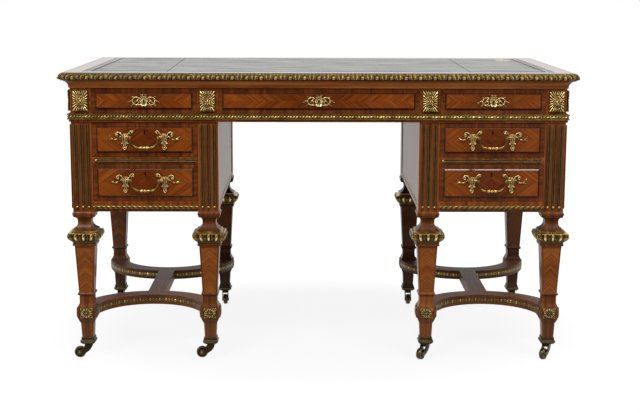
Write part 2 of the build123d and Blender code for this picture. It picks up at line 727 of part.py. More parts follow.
def bail():
    """Swinging handle: octagonal rod bent to a shallow U, with a collared middle and two end pins."""
    half = bail_span / 2
    path = Polyline((half, bail_section / 2), (half, bail_corner - bail_drop), (half - bail_corner_cut, bail_corner_cut - bail_drop),
                    (half - bail_corner, -bail_drop), (0, knop_rise - bail_drop))
    arm_plane = Plane(origin=(half, 0, bail_section / 2), z_dir=(0, 0, -1))
    section = arm_plane * RegularPolygon(bail_section / 2, 8, major_radius=False)
    arm = sweep(section, path=Plane.XZ * path, transition=Transition.RIGHT)
    pin = Pos(half, 0, 0) * Rot(0, 90, 0) * extrude(
        small_round(pin_radius), bail_section / 2 + pin_side_gap + pin_length)
    side = arm + pin
    knop = Pos(0, 0, knop_rise - bail_drop) * Rot(0, 90, 0) * extrude(
        RegularPolygon(knop_radius, 8), knop_length / 2, both=True)
    return side + mirror(side, Plane.YZ) + knop


def main():
    os.makedirs("parts", exist_ok=True)
    build_top()
    build_frieze()

    pedestal_bays = [Bay("upper", inner_post_x, outer_post_x, upper_bottom, pedestal_top),
                     Bay("lower", inner_post_x, outer_post_x, lower_bottom, lower_top)]
    boards, linings = build_pedestal(pedestal_bays)
    save("right_pedestal_case", boards)
    save("left_pedestal_case", [mirror(board, Plane.YZ) for board in boards])
    save("flute_linings", both_sides(linings))
    save("pedestal_base_strips", both_sides(build_base_strips()))

    leg, collar, cup, flowers = build_legs()
    fork, wheel = build_castor()
    corners = [(x, y) for y in (-leg_y, leg_y) for x in (-leg_xs[0], -leg_xs[1], leg_xs[1], leg_xs[0])]
    names = [f"{row}_{place}" for row in ("front", "rear")
             for place in ("left_outer", "left_inner", "right_inner", "right_outer")]
    angles = front_castor_angles + rear_castor_angles
    placed = {name: Pos(x, y) * Rot(0, 0, 0 if y < 0 else 180) * leg for name, (x, y) in zip(names, corners)}
    save("left_legs", [shape for name, shape in placed.items() if "left" in name])
    save("right_legs", [shape for name, shape in placed.items() if "right" in name])
    save("gadroon_collars", [Pos(x, y) * collar for x, y in corners])
    save("foot_collars", [Pos(x, y) * cup for x, y in corners])
    save("leg_rosettes", [Pos(x, y) * Rot(0, 0, 0 if y < 0 else 180) * flower
                          for x, y in corners for flower in flowers])
    for name, (x, y), angle in zip(names, corners, angles):
        save(f"{name}_castor_fork", [Pos(x, y) * Rot(0, 0, angle) * fork])
        save(f"{name}_castor_wheel", [Pos(x, y) * Rot(0, 0, angle) * wheel])

    own_legs = [Pos(x - pedestal_x, y) * leg for x in leg_xs for y in (-leg_y,)]
    timbers, leaf = build_stretchers(own_legs)
    for side, name in ((-1, "left"), (1, "right")):
        save(f"{name}_stretcher", [Pos(side * pedestal_x, 0) * timber for timber in timbers])
    save("stretcher_strips", [Pos(side * pedestal_x, 0) * strip for side in (-1, 1) for strip in leaf])

    for side, name in ((-1, "left"), (1, "right")):
        edges = sorted((side * inner_post_x, side * outer_post_x))
        build_drawer(Bay(f"{name}_frieze", *edges, frieze_bottom, frieze_top), False)
        build_drawer(Bay(f"{name}_upper", *edges, upper_bottom, pedestal_top), True)
        build_drawer(Bay(f"{name}_lower", *edges, lower_bottom, lower_top), True)
    build_drawer(Bay("centre_frieze", -inner_x, inner_x, frieze_bottom, frieze_top), False)


main()
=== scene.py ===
import json
import math

import bmesh
import bpy
import numpy as np
from mathutils import Matrix, Vector


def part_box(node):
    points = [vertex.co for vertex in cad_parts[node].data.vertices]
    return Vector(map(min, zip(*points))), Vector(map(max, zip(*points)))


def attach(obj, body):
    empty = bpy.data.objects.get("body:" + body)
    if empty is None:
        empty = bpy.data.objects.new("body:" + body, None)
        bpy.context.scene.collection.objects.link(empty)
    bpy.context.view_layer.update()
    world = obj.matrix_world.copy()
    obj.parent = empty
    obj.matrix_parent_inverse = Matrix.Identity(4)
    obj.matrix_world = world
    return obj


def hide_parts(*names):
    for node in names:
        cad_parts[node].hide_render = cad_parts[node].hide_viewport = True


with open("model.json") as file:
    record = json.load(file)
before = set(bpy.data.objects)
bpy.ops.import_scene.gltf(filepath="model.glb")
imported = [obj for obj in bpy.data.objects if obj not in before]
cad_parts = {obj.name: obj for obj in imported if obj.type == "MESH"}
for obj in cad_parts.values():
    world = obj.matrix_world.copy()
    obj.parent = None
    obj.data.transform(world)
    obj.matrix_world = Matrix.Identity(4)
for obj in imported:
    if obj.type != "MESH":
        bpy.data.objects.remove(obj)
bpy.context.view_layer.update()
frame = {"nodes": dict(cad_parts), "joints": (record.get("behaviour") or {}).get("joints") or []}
nodes = frame["nodes"]


# ==== Studio ====
# A long lens a little above the desk and almost square to it, a pale seamless floor and an even white
# surround. The lamps are a soft box overhead, a high one on each side of the camera, a low one at the left
# and a strip over the right pedestal.
image_width = 640
focal_pixels = 1300.0
camera_place = (-0.0303, -3.7596, 1.0135)
camera_yaw = math.radians(0.57)
camera_pitch = math.radians(-9.78)
camera_roll = math.radians(0.17)

view = bpy.data.cameras.new("camera")
view.sensor_width = 36.0
view.lens = focal_pixels / image_width * view.sensor_width
camera = bpy.data.objects.new("camera", view)
bpy.context.scene.collection.objects.link(camera)
turn = (Matrix.Rotation(-camera_yaw, 4, "Z") @ Matrix.Rotation(math.pi / 2 + camera_pitch, 4, "X")
        @ Matrix.Rotation(camera_roll, 4, "Z"))
camera.matrix_world = Matrix.Translation(camera_place) @ turn
bpy.context.scene.camera = camera
bpy.context.scene.view_settings.view_transform = "Standard"


def soft_box(name, place, aim, width, height, power):
    """Area lamp at `place` that looks at `aim`."""
    lamp = bpy.data.lights.new(name, "AREA")
    lamp.shape = "RECTANGLE"
    lamp.size, lamp.size_y, lamp.energy = width, height, power
    box = bpy.data.objects.new(name, lamp)
    bpy.context.scene.collection.objects.link(box)
    box.location = place
    box.rotation_euler = (Vector(aim) - Vector(place)).to_track_quat("-Z", "Y").to_euler()


soft_box("key_lamp", (-1.7, -2.9, 4.0), (0, 0, 0.5), 1.8, 1.4, 138)
soft_box("fill_lamp", (2.3, -2.8, 3.7), (0, 0, 0.5), 1.4, 1.6, 96)
soft_box("top_lamp", (0.2, 0.3, 3.3), (0, 0, 0), 2.6, 2.0, 16)
soft_box("strip_lamp", (0.85, -0.6, 3.2), (0.5, -0.4, 0.6), 1.2, 0.7, 22)
soft_box("low_lamp", (-3.4, -3.0, 0.9), (0, 0, 0.7), 1.0, 1.2, 30)


class Socket:
    """One output of a shader node. Arithmetic on it adds Math nodes to its material."""

    def __init__(self, finish, source):
        self.finish = finish
        self.source = source

    def math(self, operation, *others):
        """This number and the others through a Math node."""
        return self.finish.node("Math", {"operation": operation}, dict(enumerate((self,) + others)))

    def __add__(self, other):
        return self.math("ADD", other)

    def __sub__(self, other):
        return self.math("SUBTRACT", other)

    def __rsub__(self, other):
        return self.finish.node("Math", {"operation": "SUBTRACT"}, {0: other, 1: self})

    def __mul__(self, other):
        return self.math("MULTIPLY", other)

    def __truediv__(self, other):
        return self.math("DIVIDE", other)

    def __pow__(self, other):
        return self.math("POWER", other)

    def __mod__(self, other):
        return self.math("FLOORED_MODULO", other)

    def __abs__(self):
        return self.math("ABSOLUTE")

    def __gt__(self, other):
        return self.math("GREATER_THAN", other)

    def __lt__(self, other):
        return self.math("LESS_THAN", other)

    __radd__ = __add__
    __rmul__ = __mul__

    def ramp(self, low, high):
        """0 below `low`, 1 above `high`, and a smooth step between."""
        return self.finish.node("MapRange", {"interpolation_type": "SMOOTHSTEP"}, {0: self, 1: low, 2: high})


def paint(red, green, blue):
    """Scene colour of an eight-bit display colour."""
    return tuple((c / 255 / 12.92 if c <= 10 else ((c / 255 + 0.055) / 1.055) ** 2.4)
                 for c in (red, green, blue)) + (1.0,)


class Finish:
    """A material that is written as expressions on Sockets."""

    def __init__(self, name):
        self.material = bpy.data.materials.new(name)
        self.material.use_nodes = True
        self.tree = self.material.node_tree
        self.shader = self.tree.nodes["Principled BSDF"]

    def node(self, kind, settings=None, inputs=None, output=0):
        """One output of a new node of this kind, once its settings and then its inputs are set."""
        made = self.tree.nodes.new("ShaderNode" + kind)
        for key, value in (settings or {}).items():
            if key == "stops":
                ramp = made.color_ramp
                while len(ramp.elements) < len(value):
                    ramp.elements.new(0.5)
                for element, (position, colour) in zip(ramp.elements, value):
                    element.position, element.color = position, colour
            else:
                setattr(made, key, value)
        for key, value in (inputs or {}).items():
            self.put(made.inputs[key], value)
        return Socket(self, made.outputs[output])

    def put(self, target, value):
        """Link a Socket to an input, or set the input's value."""
        if isinstance(value, Socket):
            self.tree.links.new(value.source, target)
        else:
            target.default_value = value

    def place(self):
        """Object coordinates as three numbers."""
        point = self.node("TexCoord", output="Object")
        return [self.node("SeparateXYZ", {}, {0: point}, axis) for axis in range(3)]

    def facing(self):
        """Sizes of the three components of the surface's own normal."""
        normal = self.node("TexCoord", output="Normal")
        return [abs(self.node("SeparateXYZ", {}, {0: normal}, axis)) for axis in range(3)]

    def noise(self, x, y, z, detail=2.0, roughness=0.5):
        """Noise at the point (x, y, z), about one feature to a unit."""
        point = self.node("CombineXYZ", {}, {0: x, 1: y, 2: z})
        return self.node("TexNoise", {}, {"Vector": point, "Scale": 1.0, "Detail": detail,
                                          "Roughness": roughness})

    def pick(self, factor, low, high):
        """`low` where the factor is 0, `high` where it is 1, for numbers."""
        return low + (high - low) * factor

    def blend(self, factor, low, high, mode="MIX"):
        """The same for colours."""
        return self.node("Mix", {"data_type": "RGBA", "blend_type": mode},
                         {"Factor": factor, 6: low, 7: high}, 2)

    def bump(self, height, distance, strength=1.0):
        """Normal of a relief that is `height` times `distance` high."""
        return self.node("Bump", {}, {"Height": height, "Distance": distance, "Strength": strength})

    def cover(self, factor, other):
        """Show `other` in place of the shader where the factor is 1."""
        mixed = self.node("MixShader", {}, {0: factor, 1: Socket(self, self.shader.outputs[0]), 2: other})
        self.put(self.tree.nodes["Material Output"].inputs["Surface"], mixed)

    def shade(self, **sockets):
        """Set sockets of the shader; an underscore stands for a space in their names."""
        for key, value in sockets.items():
            self.put(self.shader.inputs[key.replace("_", " ")], value)
        return self.material


ground = Finish("seamless_floor")
x, y, z = ground.place()
pool_edge = (0.42, 0.85)
far = ((x * x * 0.6 + y * y) ** 0.5).ramp(*pool_edge)
plain = ground.shade(Base_Color=(0.34, 0.34, 0.34, 1), Roughness=0.9)
glow = ground.node("Emission", {}, {"Color": (1, 1, 1, 1), "Strength": 1.08})
seen = ground.node("LightPath", output="Is Camera Ray") + ground.node("LightPath", output="Is Glossy Ray")
ground.cover(seen * (far * 0.18 + 0.82), glow)


def stage_panel(name, half_width, first, last, material):
    """Board of the studio between two of its edges, which lie along x, each at its (y, z)."""
    mesh = bpy.data.meshes.new(name)
    corners = [(-half_width, *first), (half_width, *first), (half_width, *last), (-half_width, *last)]
    mesh.from_pydata(corners, [], [(0, 1, 2, 3)])
    mesh.materials.append(material)
    board = bpy.data.objects.new(name, mesh)
    bpy.context.scene.collection.objects.link(board)


floor_half = 9.0
stage_panel("floor", floor_half, (-floor_half, 0), (floor_half, 0), plain)

# A black flag lies in front of the desk and stands behind the camera. Only reflections and bounced light
# meet it, so it takes the white of the floor out of the polish of the fronts, more on the left.
cloth = Finish("flag_cloth")
x, y, z = cloth.place()
shade = cloth.node("ValToRGB", {"stops": [(0.0, (0.012, 0.012, 0.014, 1)), (1.0, (0.30, 0.29, 0.30, 1))]},
                   {0: x.ramp(-0.2, 1.7)})
flag = cloth.shade(Base_Color=(0, 0, 0, 1), Roughness=1.0, Emission_Color=shade, Emission_Strength=1.0)
clear = cloth.node("BsdfTransparent", {}, {"Color": (1, 1, 1, 1)})
unseen = cloth.node("LightPath", output="Is Camera Ray") + cloth.node("LightPath", output="Is Shadow Ray")
cloth.cover(unseen, clear)
flag_half, flag_near, flag_far, flag_lift, flag_top = 2.6, -0.85, -4.05, 0.002, 2.1
stage_panel("flag_down", flag_half, (flag_far, flag_lift), (flag_near, flag_lift), flag)
stage_panel("flag_up", flag_half, (flag_far, flag_lift), (flag_far, flag_top), flag)

# The surround shows white, also in reflections, and lights the desk at 0.38 of that.
surround = bpy.data.worlds.new("surround")
surround.use_nodes = True
bpy.context.scene.world = surround
sky = surround.node_tree
rays = sky.nodes.new("ShaderNodeLightPath")
strength = sky.nodes.new("ShaderNodeMapRange")
strength.inputs["To Min"].default_value = 0.38
strength.inputs["To Max"].default_value = 1.0
shown = rays.outputs["Is Camera Ray"]
for ray in ("Is Transmission Ray", "Is Glossy Ray"):
    either = sky.nodes.new("ShaderNodeMath")
    either.operation = "MAXIMUM"
    sky.links.new(shown, either.inputs[0])
    sky.links.new(rays.outputs[ray], either.inputs[1])
    shown = either.outputs[0]
sky.links.new(shown, strength.inputs["Value"])
sky.links.new(strength.outputs[0], sky.nodes["Background"].inputs["Strength"])
sky.nodes["Background"].inputs["Color"].default_value = (1, 1, 1, 1)


# ==== Carcass veneer ====
# Saw-cut kingwood about 1 mm thick, glued on an oak carcass and french polished. The grain stands upright
# on posts and panels and runs along rails; the oak shows only inside. The kneehole's sides have gone dull.
case_low, case_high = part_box("frieze_case")
case_x, case_y = case_high.x, case_high.y
frieze_low = case_low.z


def stained(finish, shades, height):
    """Colour that runs through evenly blended `shades`, pairs of a height and a display colour."""
    return finish.node("ValToRGB", {"stops": [(at, paint(*shade)) for at, shade in shades]}, {0: height})


def veneer(finish, along, across, sheet, dark, mid, pale):
    """Colour and figure of a straight-grained sheet. Broad bands and fine pores are noise that is drawn out
    along the grain; `sheet` shifts both, so that neighbouring sheets differ."""
    bands = finish.noise(along * 2.2, across * 105.0, sheet * 7.3, 3.0, 0.62)
    pores = finish.noise(along * 26.0, across * 620.0, sheet * 3.1 + 5.0, 2.0, 0.6)
    clouds = finish.noise(along * 9.0, across * 14.0, sheet * 5.7 + 2.0, 2.0, 0.5)
    figure = bands * 0.62 + pores * 0.22 + clouds * 0.16
    return stained(finish, ((0.34, dark), (0.50, mid), (0.68, pale)), figure), figure


def polish(finish, colour, figure, shine=0.24, coat=0.2):
    """French polish over the veneer: the figure shows a little in the gloss and as an open grain."""
    return finish.shade(Base_Color=colour, Roughness=figure * 0.2 + shine, Specular_IOR_Level=0.15,
                        Coat_Weight=coat, Coat_Roughness=0.1,
                        Normal=finish.bump(figure, 0.0003, 0.4))


def oak(finish, along, across):
    """Plain brown oak: noise drawn out forty times along the grain."""
    grain = finish.noise(along * 6.0, across * 240.0, 1.0, 3.0, 0.6)
    return stained(finish, ((0.3, (112, 78, 44)), (0.7, (172, 132, 84))), grain)


post_width = 0.0545
rail_thickness = 0.022

carcass = Finish("carcass_veneer")
x, y, z = carcass.place()
end = carcass.facing()[0] > 0.5
level = carcass.pick(end, x, y)
upright = (z < frieze_low) + (abs(x) > case_x - post_width) * (z > frieze_low)
upright = upright.math("MINIMUM", 1.0)
along = carcass.pick(upright, level, z)
across = carcass.pick(upright, z, level)
sheet = (abs(x) * 18.3).math("FLOOR") * 0.37 + (z > frieze_low) * 1.7 + (x > 0) * 0.9
skin, figure = veneer(carcass, along, across, sheet, (76, 34, 11), (120, 60, 21), (156, 88, 36))
inside = (abs(x) < case_x - rail_thickness) * (abs(y) < case_y - rail_thickness) * (z > frieze_low + 0.001)
skin = carcass.blend(inside, skin, oak(carcass, y, x))
inner_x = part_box("right_pedestal_case")[0].x
kneehole = (abs(x) < inner_x + rail_thickness) * (z < frieze_low) * end
for name in ("frieze_case", "left_pedestal_case", "right_pedestal_case"):
    nodes[name].data.materials[0] = polish(carcass, skin, figure, coat=(1 - kneehole * 0.9) * 0.2)

cornice = Finish("cornice_veneer")
x, y, z = cornice.place()
end = abs(x) - case_x > abs(y) - case_y
skin, figure = veneer(cornice, cornice.pick(end, x, y), z, end * 1.7, (120, 62, 20), (176, 98, 36),
                      (212, 134, 58))
cornice_low, cornice_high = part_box("cornice_moulding")
# Painted shade: the cornice is darkened towards its top, where the overhang of the top shades it.
overhang_shade = ((z - cornice_low.z) / (cornice_high.z - cornice_low.z)).ramp(0.55, 1.0)
skin = cornice.blend(overhang_shade * 0.7, skin, paint(44, 14, 8))
nodes["cornice_moulding"].data.materials[0] = polish(cornice, skin, figure)


# ==== Drawer fronts ====
# Each front is an oak board with a crossbanded margin, an ebonised bead and a raised field of four sheets
# of veneer, which meet in diamonds on the pedestals and in chevrons on the frieze. The boxes are plain oak.
# The bead's dark colour also runs over the foot of each field's bevel, as painted shade there.
drawers = ["left_frieze", "centre_frieze", "right_frieze",
           "left_upper", "left_lower", "right_upper", "right_lower"]
field_margin = 0.0128
field_bevel = 0.003
bead_width = 0.0014
facing_depth = 0.012
diamond_slope = 0.74
chevron_slope = -0.8


def middle_and_half(low, high):
    """Middle between two numbers, and the distance from it to either."""
    return (low + high) / 2, (high - low) / 2


for name in drawers:
    low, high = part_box(f"{name}_drawer_front")
    middle_x, half_x = middle_and_half(low.x, high.x)
    middle_z, half_z = middle_and_half(low.z, high.z)
    front = Finish(f"{name}_drawer_veneer")
    x, y, z = front.place()
    dx = x - middle_x
    dz = z - middle_z
    rim_x = half_x - abs(dx)
    rim_z = half_z - abs(dz)
    rim = rim_x.math("MINIMUM", rim_z)
    field = rim > field_margin + field_bevel
    ends = rim_x < rim_z
    cross_along = front.pick(ends, z, x)
    cross_across = front.pick(ends, x, z)
    slope = chevron_slope if "frieze" in name else diamond_slope
    along = abs(dx) - abs(dz) * slope
    across = abs(dx) * slope + abs(dz)
    band = veneer(front, cross_along, cross_across, (cross_across * 24.0).math("FLOOR") * 0.71,
                  (56, 24, 8), (94, 46, 16), (128, 68, 26))[0]
    panel, figure = veneer(front, along, across * 1.5, (dx > 0) * 1.3 + (dz > 0) * 2.1 + drawers.index(name),
                           (92, 40, 8), (121, 57, 13), (153, 81, 22))
    heart = (abs(dx) / half_x).ramp(0.0, 0.8)
    panel = front.blend(1 - heart, panel, front.blend(1.0, panel, paint(196, 186, 180), "MULTIPLY"))
    colour = front.blend(field, band, panel)
    # Ebonised bead and painted shade: the dark band covers the bead and the outer part of the field's bevel.
    bead = (rim > field_margin - bead_width) * (rim < field_margin + field_bevel * 0.6)
    colour = front.blend(bead * 0.72, colour, paint(34, 14, 7))
    # Only the bevels above and below the field have a full coat of polish: light runs along them.
    bevel = (rim > field_margin) * (rim < field_margin + field_bevel) * (front.facing()[2] > 0.25)
    behind = y > low.y + facing_depth
    colour = front.blend(behind, colour, oak(front, x, z))
    nodes[f"{name}_drawer_front"].data.materials[0] = polish(front, colour, figure, coat=bevel * 0.8 + 0.2)

linings = Finish("oak_linings")
x, y, z = linings.place()
wood = oak(linings, y, x * 0.6 + z)
linings.shade(Base_Color=wood, Roughness=0.6,
              Normal=linings.bump(linings.noise(x * 80, y * 6, z * 80), 0.0003))
for name in drawers:
    nodes[f"{name}_drawer_box"].data.materials[0] = linings.material


# ==== Top ====
# A veneered border round three skins of glazed hide, glued down flush and butted at two seams, with a
# blind-tooled double line. Creases break up its glaze, and a gilt stamp of leaves lies in one corner.
top_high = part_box("top_board")[1]
hide_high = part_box("writing_leather")[1]
wide_tool = (0.0205, 0.0250)
fine_tool = (0.0275, 0.0288)
rim_tool = 0.0018
seam_place, seam_skew, seam_half = 0.406, 0.012, 0.0012
stamp_x, stamp_y, stamp_half_x, stamp_half_y = 0.566, 0.243, 0.024, 0.060

border = Finish("top_veneer")
x, y, z = border.place()
gap_x = top_high.x - abs(x)
gap_y = top_high.y - abs(y)
side = gap_x < gap_y
skin, figure = veneer(border, border.pick(side, y, x), border.pick(side, x, y), side * 2.0,
                      (50, 25, 10), (84, 48, 20), (116, 74, 34))
nodes["top_board"].data.materials[0] = border.shade(
    Base_Color=skin, Roughness=figure * 0.1 + 0.14, Specular_IOR_Level=0.3, Coat_Weight=0.3,
    Coat_Roughness=0.08, Normal=border.bump(figure, 0.0002, 0.3))

hide = Finish("writing_hide")
x, y, z = hide.place()
edge = (hide_high.x - abs(x)).math("MINIMUM", hide_high.y - abs(y))
pores = hide.node("TexVoronoi", {"feature": "DISTANCE_TO_EDGE"},
                  {"Vector": hide.node("TexCoord", output="Object"), "Scale": 520.0})
wear = hide.noise(x * 5.0, y * 8.0, 3.0, 5.0, 0.65)
crease = hide.noise(x * 7.0, y * 17.0, 7.0, 4.0, 0.6)
colour = stained(hide, ((0.3, (40, 41, 38)), (0.7, (82, 83, 78))), wear)
line = ((edge > wide_tool[0]) * (edge < wide_tool[1]) + (edge > fine_tool[0]) * (edge < fine_tool[1])
        + (edge < rim_tool))
seam = abs(abs(x) - seam_place - y * seam_skew) < seam_half
tooled = (line + seam).math("MINIMUM", 1.0)
colour = hide.blend(tooled * 0.9, colour, paint(24, 20, 24))
leafage = hide.noise(x * 120.0, y * 60.0, 2.0, 2.0, 0.6)
radius = ((x - stamp_x) / stamp_half_x) ** 2.0 + ((y - stamp_y) / stamp_half_y) ** 2.0
stamp = (radius < 1.0) * (leafage > 0.47)
colour = hide.blend(stamp * 0.9, colour, paint(196, 166, 92))
relief = pores.ramp(0.0, 0.12) * 0.2 - tooled * 3.0 + wear * 1.6 + crease * 2.0
glaze = crease.ramp(0.36, 0.62) * (1 - tooled * 0.8) * 0.4
nodes["writing_leather"].data.materials[0] = hide.shade(
    Base_Color=colour, Metallic=stamp * 0.8, Roughness=wear * 0.2 + tooled * 0.5 + 0.2,
    Specular_IOR_Level=0.14, Coat_Weight=glaze, Coat_Roughness=0.2, Normal=hide.bump(relief, 0.0004, 0.7))


# ==== Gilt brass edge of the top ====
# Cast and gilded brass, mitred at the corners and pinned to the edge of the board. Its quarter round is
# chased with eggs between leaves; the gilding is worn bright on the crests and dark in the hollows.
def gilding(name, dark, dull, bright, worn, rough):
    """Gilt brass whose colour follows the piece's own tone: 0 in the hollows, 1 on the crests."""
    gilt = Finish(name)
    x, y, z = gilt.place()
    tone = gilt.node("Attribute", {"attribute_name": "tone"}, output="Fac")
    cloud = gilt.noise(x * 55.0, y * 55.0, z * 55.0, 3.0, 0.6)
    depth = tone * 0.9 + cloud * 0.5 - 0.2
    colour = stained(gilt, ((0.06, dark), (0.36, dull), (0.66, bright), (0.98, worn)), depth)
    return gilt.shade(Base_Color=colour, Metallic=depth.ramp(-0.1, 0.5) * 0.3 + 0.65,
                      Roughness=rough - depth * 0.14)


ormolu = gilding("gilt_brass", (28, 20, 8), (92, 70, 30), (166, 132, 66), (240, 216, 156), 0.42)
edge_gilt = gilding("edge_brass", (28, 21, 9), (78, 61, 25), (136, 109, 56), (226, 202, 142), 0.44)


class Casting:
    """Grids of points gathered into one mesh, each point with its tone and, on the legs, its distance across
    the face."""

    def __init__(self):
        self.points, self.quads, self.tones, self.across = [], [], [], []
        self.count = 0

    def add(self, grid, tone, loop=False, across=0.0):
        """Join a grid of (rows, columns, 3) points by quads, its last column to its first, and with `loop`
        its last row to its first."""
        rows, columns = grid.shape[:2]
        index = np.arange(rows * columns).reshape(rows, columns) + self.count
        index = np.hstack([index, index[:, :1]])
        if loop:
            index = np.vstack([index, index[:1]])
        self.quads.append(np.stack([index[:-1, :-1], index[:-1, 1:], index[1:, 1:], index[1:, :-1]],
                                   -1).reshape(-1, 4))
        self.points.append(grid.reshape(-1, 3))
        self.tones.append(np.broadcast_to(tone, (rows, columns)).reshape(-1))
        self.across.append(np.broadcast_to(across, (rows, columns)).reshape(-1))
        self.count += rows * columns

    def finish(self, name, body, slot, material, replaced, angle=38.0):
        """Make the mesh with merged seams and outward faces, and fix it to its body."""
        mesh = bpy.data.meshes.new(name)
        mesh.from_pydata(np.concatenate(self.points).tolist(), [], np.concatenate(self.quads).tolist())
        for key, values in (("tone", self.tones), ("across", self.across)):
            mesh.attributes.new(key, "FLOAT", "POINT").data.foreach_set("value", np.concatenate(values))
        work = bmesh.new()
        work.from_mesh(mesh)
        bmesh.ops.remove_doubles(work, verts=work.verts, dist=2e-6)
        bmesh.ops.recalc_face_normals(work, faces=work.faces)
        work.to_mesh(mesh)
        work.free()
        mesh.shade_smooth()
        mesh.set_sharp_from_angle(angle=math.radians(angle))
        mesh.materials.append(material)
        piece = bpy.data.objects.new(name, mesh)
        bpy.context.scene.collection.objects.link(piece)
        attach(piece, body)
        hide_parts(replaced)


def bowed(corners, steps=6):
    """Line through (a, b, bow): the stretch that leads to a corner is a parabola whose middle stands `bow`
    off its chord, to the right of the travel."""
    parts = []
    for (a0, b0, _), (a1, b1, bow) in zip(corners, corners[1:]):
        t = np.arange(steps if bow else 1) / (steps if bow else 1)
        run, rise = a1 - a0, b1 - b0
        off = 4 * bow * t * (1 - t) / math.hypot(run, rise)
        parts.append(np.stack([a0 + run * t + rise * off, b0 + rise * t - run * off], 1))
    return np.vstack(parts + [[corners[-1][:2]]])


def turned_about(grid, angle):
    """The grid turned about the upright axis; 0 faces the sitter, 90 the right."""
    c, s = math.cos(math.radians(angle)), math.sin(math.radians(angle))
    return grid @ np.array([[c, s, 0], [-s, c, 0], [0, 0, 1]])


def round_desk(half_x, half_y, pitch, per_repeat, base, section):
    """A moulding carried round a rectangle. `section(phase)` gives its closed outline as (out, up) for each
    phase of its repeat, with tones; a slice slants evenly from the middle of a side to its mitres."""
    rows, tones = [], []
    for turn, half, distance in ((0, half_x, half_y), (90, half_y, half_x),
                                 (180, half_x, half_y), (270, half_y, half_x)):
        repeats = max(1, round(2 * half / pitch))
        along = np.linspace(-1, 1, repeats * per_repeat + 1)[:-1]
        outline, tone = section((along * repeats / 2 + 0.5) % 1.0 - 0.5)
        out, up = outline[..., 0], outline[..., 1]
        side = np.stack([along[:, None] * (half + out), -(distance + out), base + up], -1)
        rows.append(turned_about(side, turn))
        tones.append(tone)
    return np.vstack(rows), np.vstack(tones)


edge_low, edge_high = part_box("top_edge_moulding")
board_x, board_y = top_high.x, top_high.y
edge_depth = edge_high.x - board_x
edge_height = edge_high.z - edge_low.z
egg_pitch = 0.0368
egg_slices = 24


def lobe(u, v):
    """Rounded bump: the root of 1 - u² - v² over the unit disc, and 0 outside it."""
    return np.sqrt(np.clip(1 - u ** 2 - v ** 2, 0, None))


def backed(front, tone, height):
    """Front of a moulding, closed by an upright back of this height in the plane out = 0."""
    back = np.broadcast_to([[0.0, height], [0.0, 0.0]], (len(front), 2, 2))
    return np.concatenate([front, back], 1), np.hstack([tone, np.full((len(front), 2), 0.4)])


def edge_section(phase):
    """Quarter round with an egg low in the middle of each repeat, an upright dart a quarter of a repeat to
    each side of it, a pair of leaves where repeats meet and small tongues above, cut up to 2.6 mm deep."""
    curve = bowed([(edge_depth - 0.005, 0, 0), (edge_depth, edge_height / 4, 0.0012),
                   (0.002, edge_height, 0.0034)], 9)
    t = np.linspace(0, 1, len(curve))[None]
    p = phase[:, None]
    egg = lobe((p - 0.10 * (t - 0.36)) / 0.130, (t - 0.38) / 0.32)
    dart = lobe((np.abs(p) - 0.25) / 0.045, (t - 0.46) / 0.50) * 0.82
    leaf = lobe((np.abs(p) - 0.40 + 0.20 * (t - 0.4)) / 0.072, (t - 0.42) / 0.44) * 0.95
    tongue = lobe((np.abs(np.abs(p) - 0.25) - 0.125) / 0.1, (t - 0.86) / 0.16) * 0.8
    relief = np.maximum(np.maximum(egg, leaf), np.maximum(dart, tongue))
    lean = np.array([[0.86, 0.5]])
    cut = (1 - relief)[..., None] * 0.0026 * np.sin(np.pi * np.clip(t, 0.02, 0.98))[..., None] ** 0.4
    rubbed = np.interp(t, [0, 0.14, 0.26, 0.5, 0.7, 1.0], [0.2, 0.66, 1.0, 0.9, 0.66, 0.52])
    return backed(curve[None] - cut * lean, np.clip(relief, 0, 1) * rubbed, edge_height)


edge = Casting()
grid, tone = round_desk(board_x, board_y, egg_pitch, egg_slices, edge_low.z, edge_section)
edge.add(grid, tone, loop=True)
edge.finish("chased_edge_moulding", "desk", "gilt_mouldings", edge_gilt, "top_edge_moulding")


# ==== Leaf band under the frieze ====
# A second cast moulding, pinned round the carcass below the drawers over a plain wooden ledge: sprays of
# leaves between berries, with a fillet above and below.
band_low, band_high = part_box("frieze_band_moulding")
band_height = band_high.z - band_low.z
band_out = band_high.x - case_x
band_fillet = 0.003
band_pitch = 0.0485
band_slices = 28


def band_section(phase):
    """Half round between two fillets. A berry stands where repeats meet; from it two sprays of leaves run
    to the middle of the repeat, each leaf an ellipse that leans from the berry."""
    curve = bowed([(band_fillet, 0, 0), (band_fillet, band_fillet, 0),
                   (band_fillet, band_height - band_fillet, band_out - band_fillet),
                   (band_fillet, band_height, 0)], 13)
    t = np.clip((curve[:, 1] - band_fillet) / (band_height - 2 * band_fillet), 0, 1)[None]
    p = phase[:, None]
    up = np.abs(t - 0.5)
    berry = lobe((np.abs(p) - 0.5) / 0.06, (t - 0.5) / 0.34)
    leaves = lobe(p / 0.05, (t - 0.5) / 0.42) * 0.7
    for centre, size in ((0.17, 0.8), (0.34, 1.0)):
        bend = np.abs(p) - centre - 0.16 * (t - 0.5) * np.sign(p)
        leaves = np.maximum(leaves, lobe(bend / 0.058, (t - 0.5) / 0.47) * size)
    relief = np.maximum(berry, leaves * (0.75 + 0.25 * np.cos(12.0 * up)))
    inner = (t > 0) & (t < 1)
    cut = np.where(inner, (1 - relief) * 0.0024, 0)[..., None]
    front = curve[None] - cut * np.array([[1.0, 0.0]])
    return backed(front, np.where(inner, relief * 0.62 + 0.34, 0.72), band_height)


band = Casting()
grid, tone = round_desk(case_x, case_y, band_pitch, band_slices, band_low.z, band_section)
band.add(grid, tone, loop=True)
band.finish("leaf_band", "desk", "gilt_mouldings", ormolu, "frieze_band_moulding")


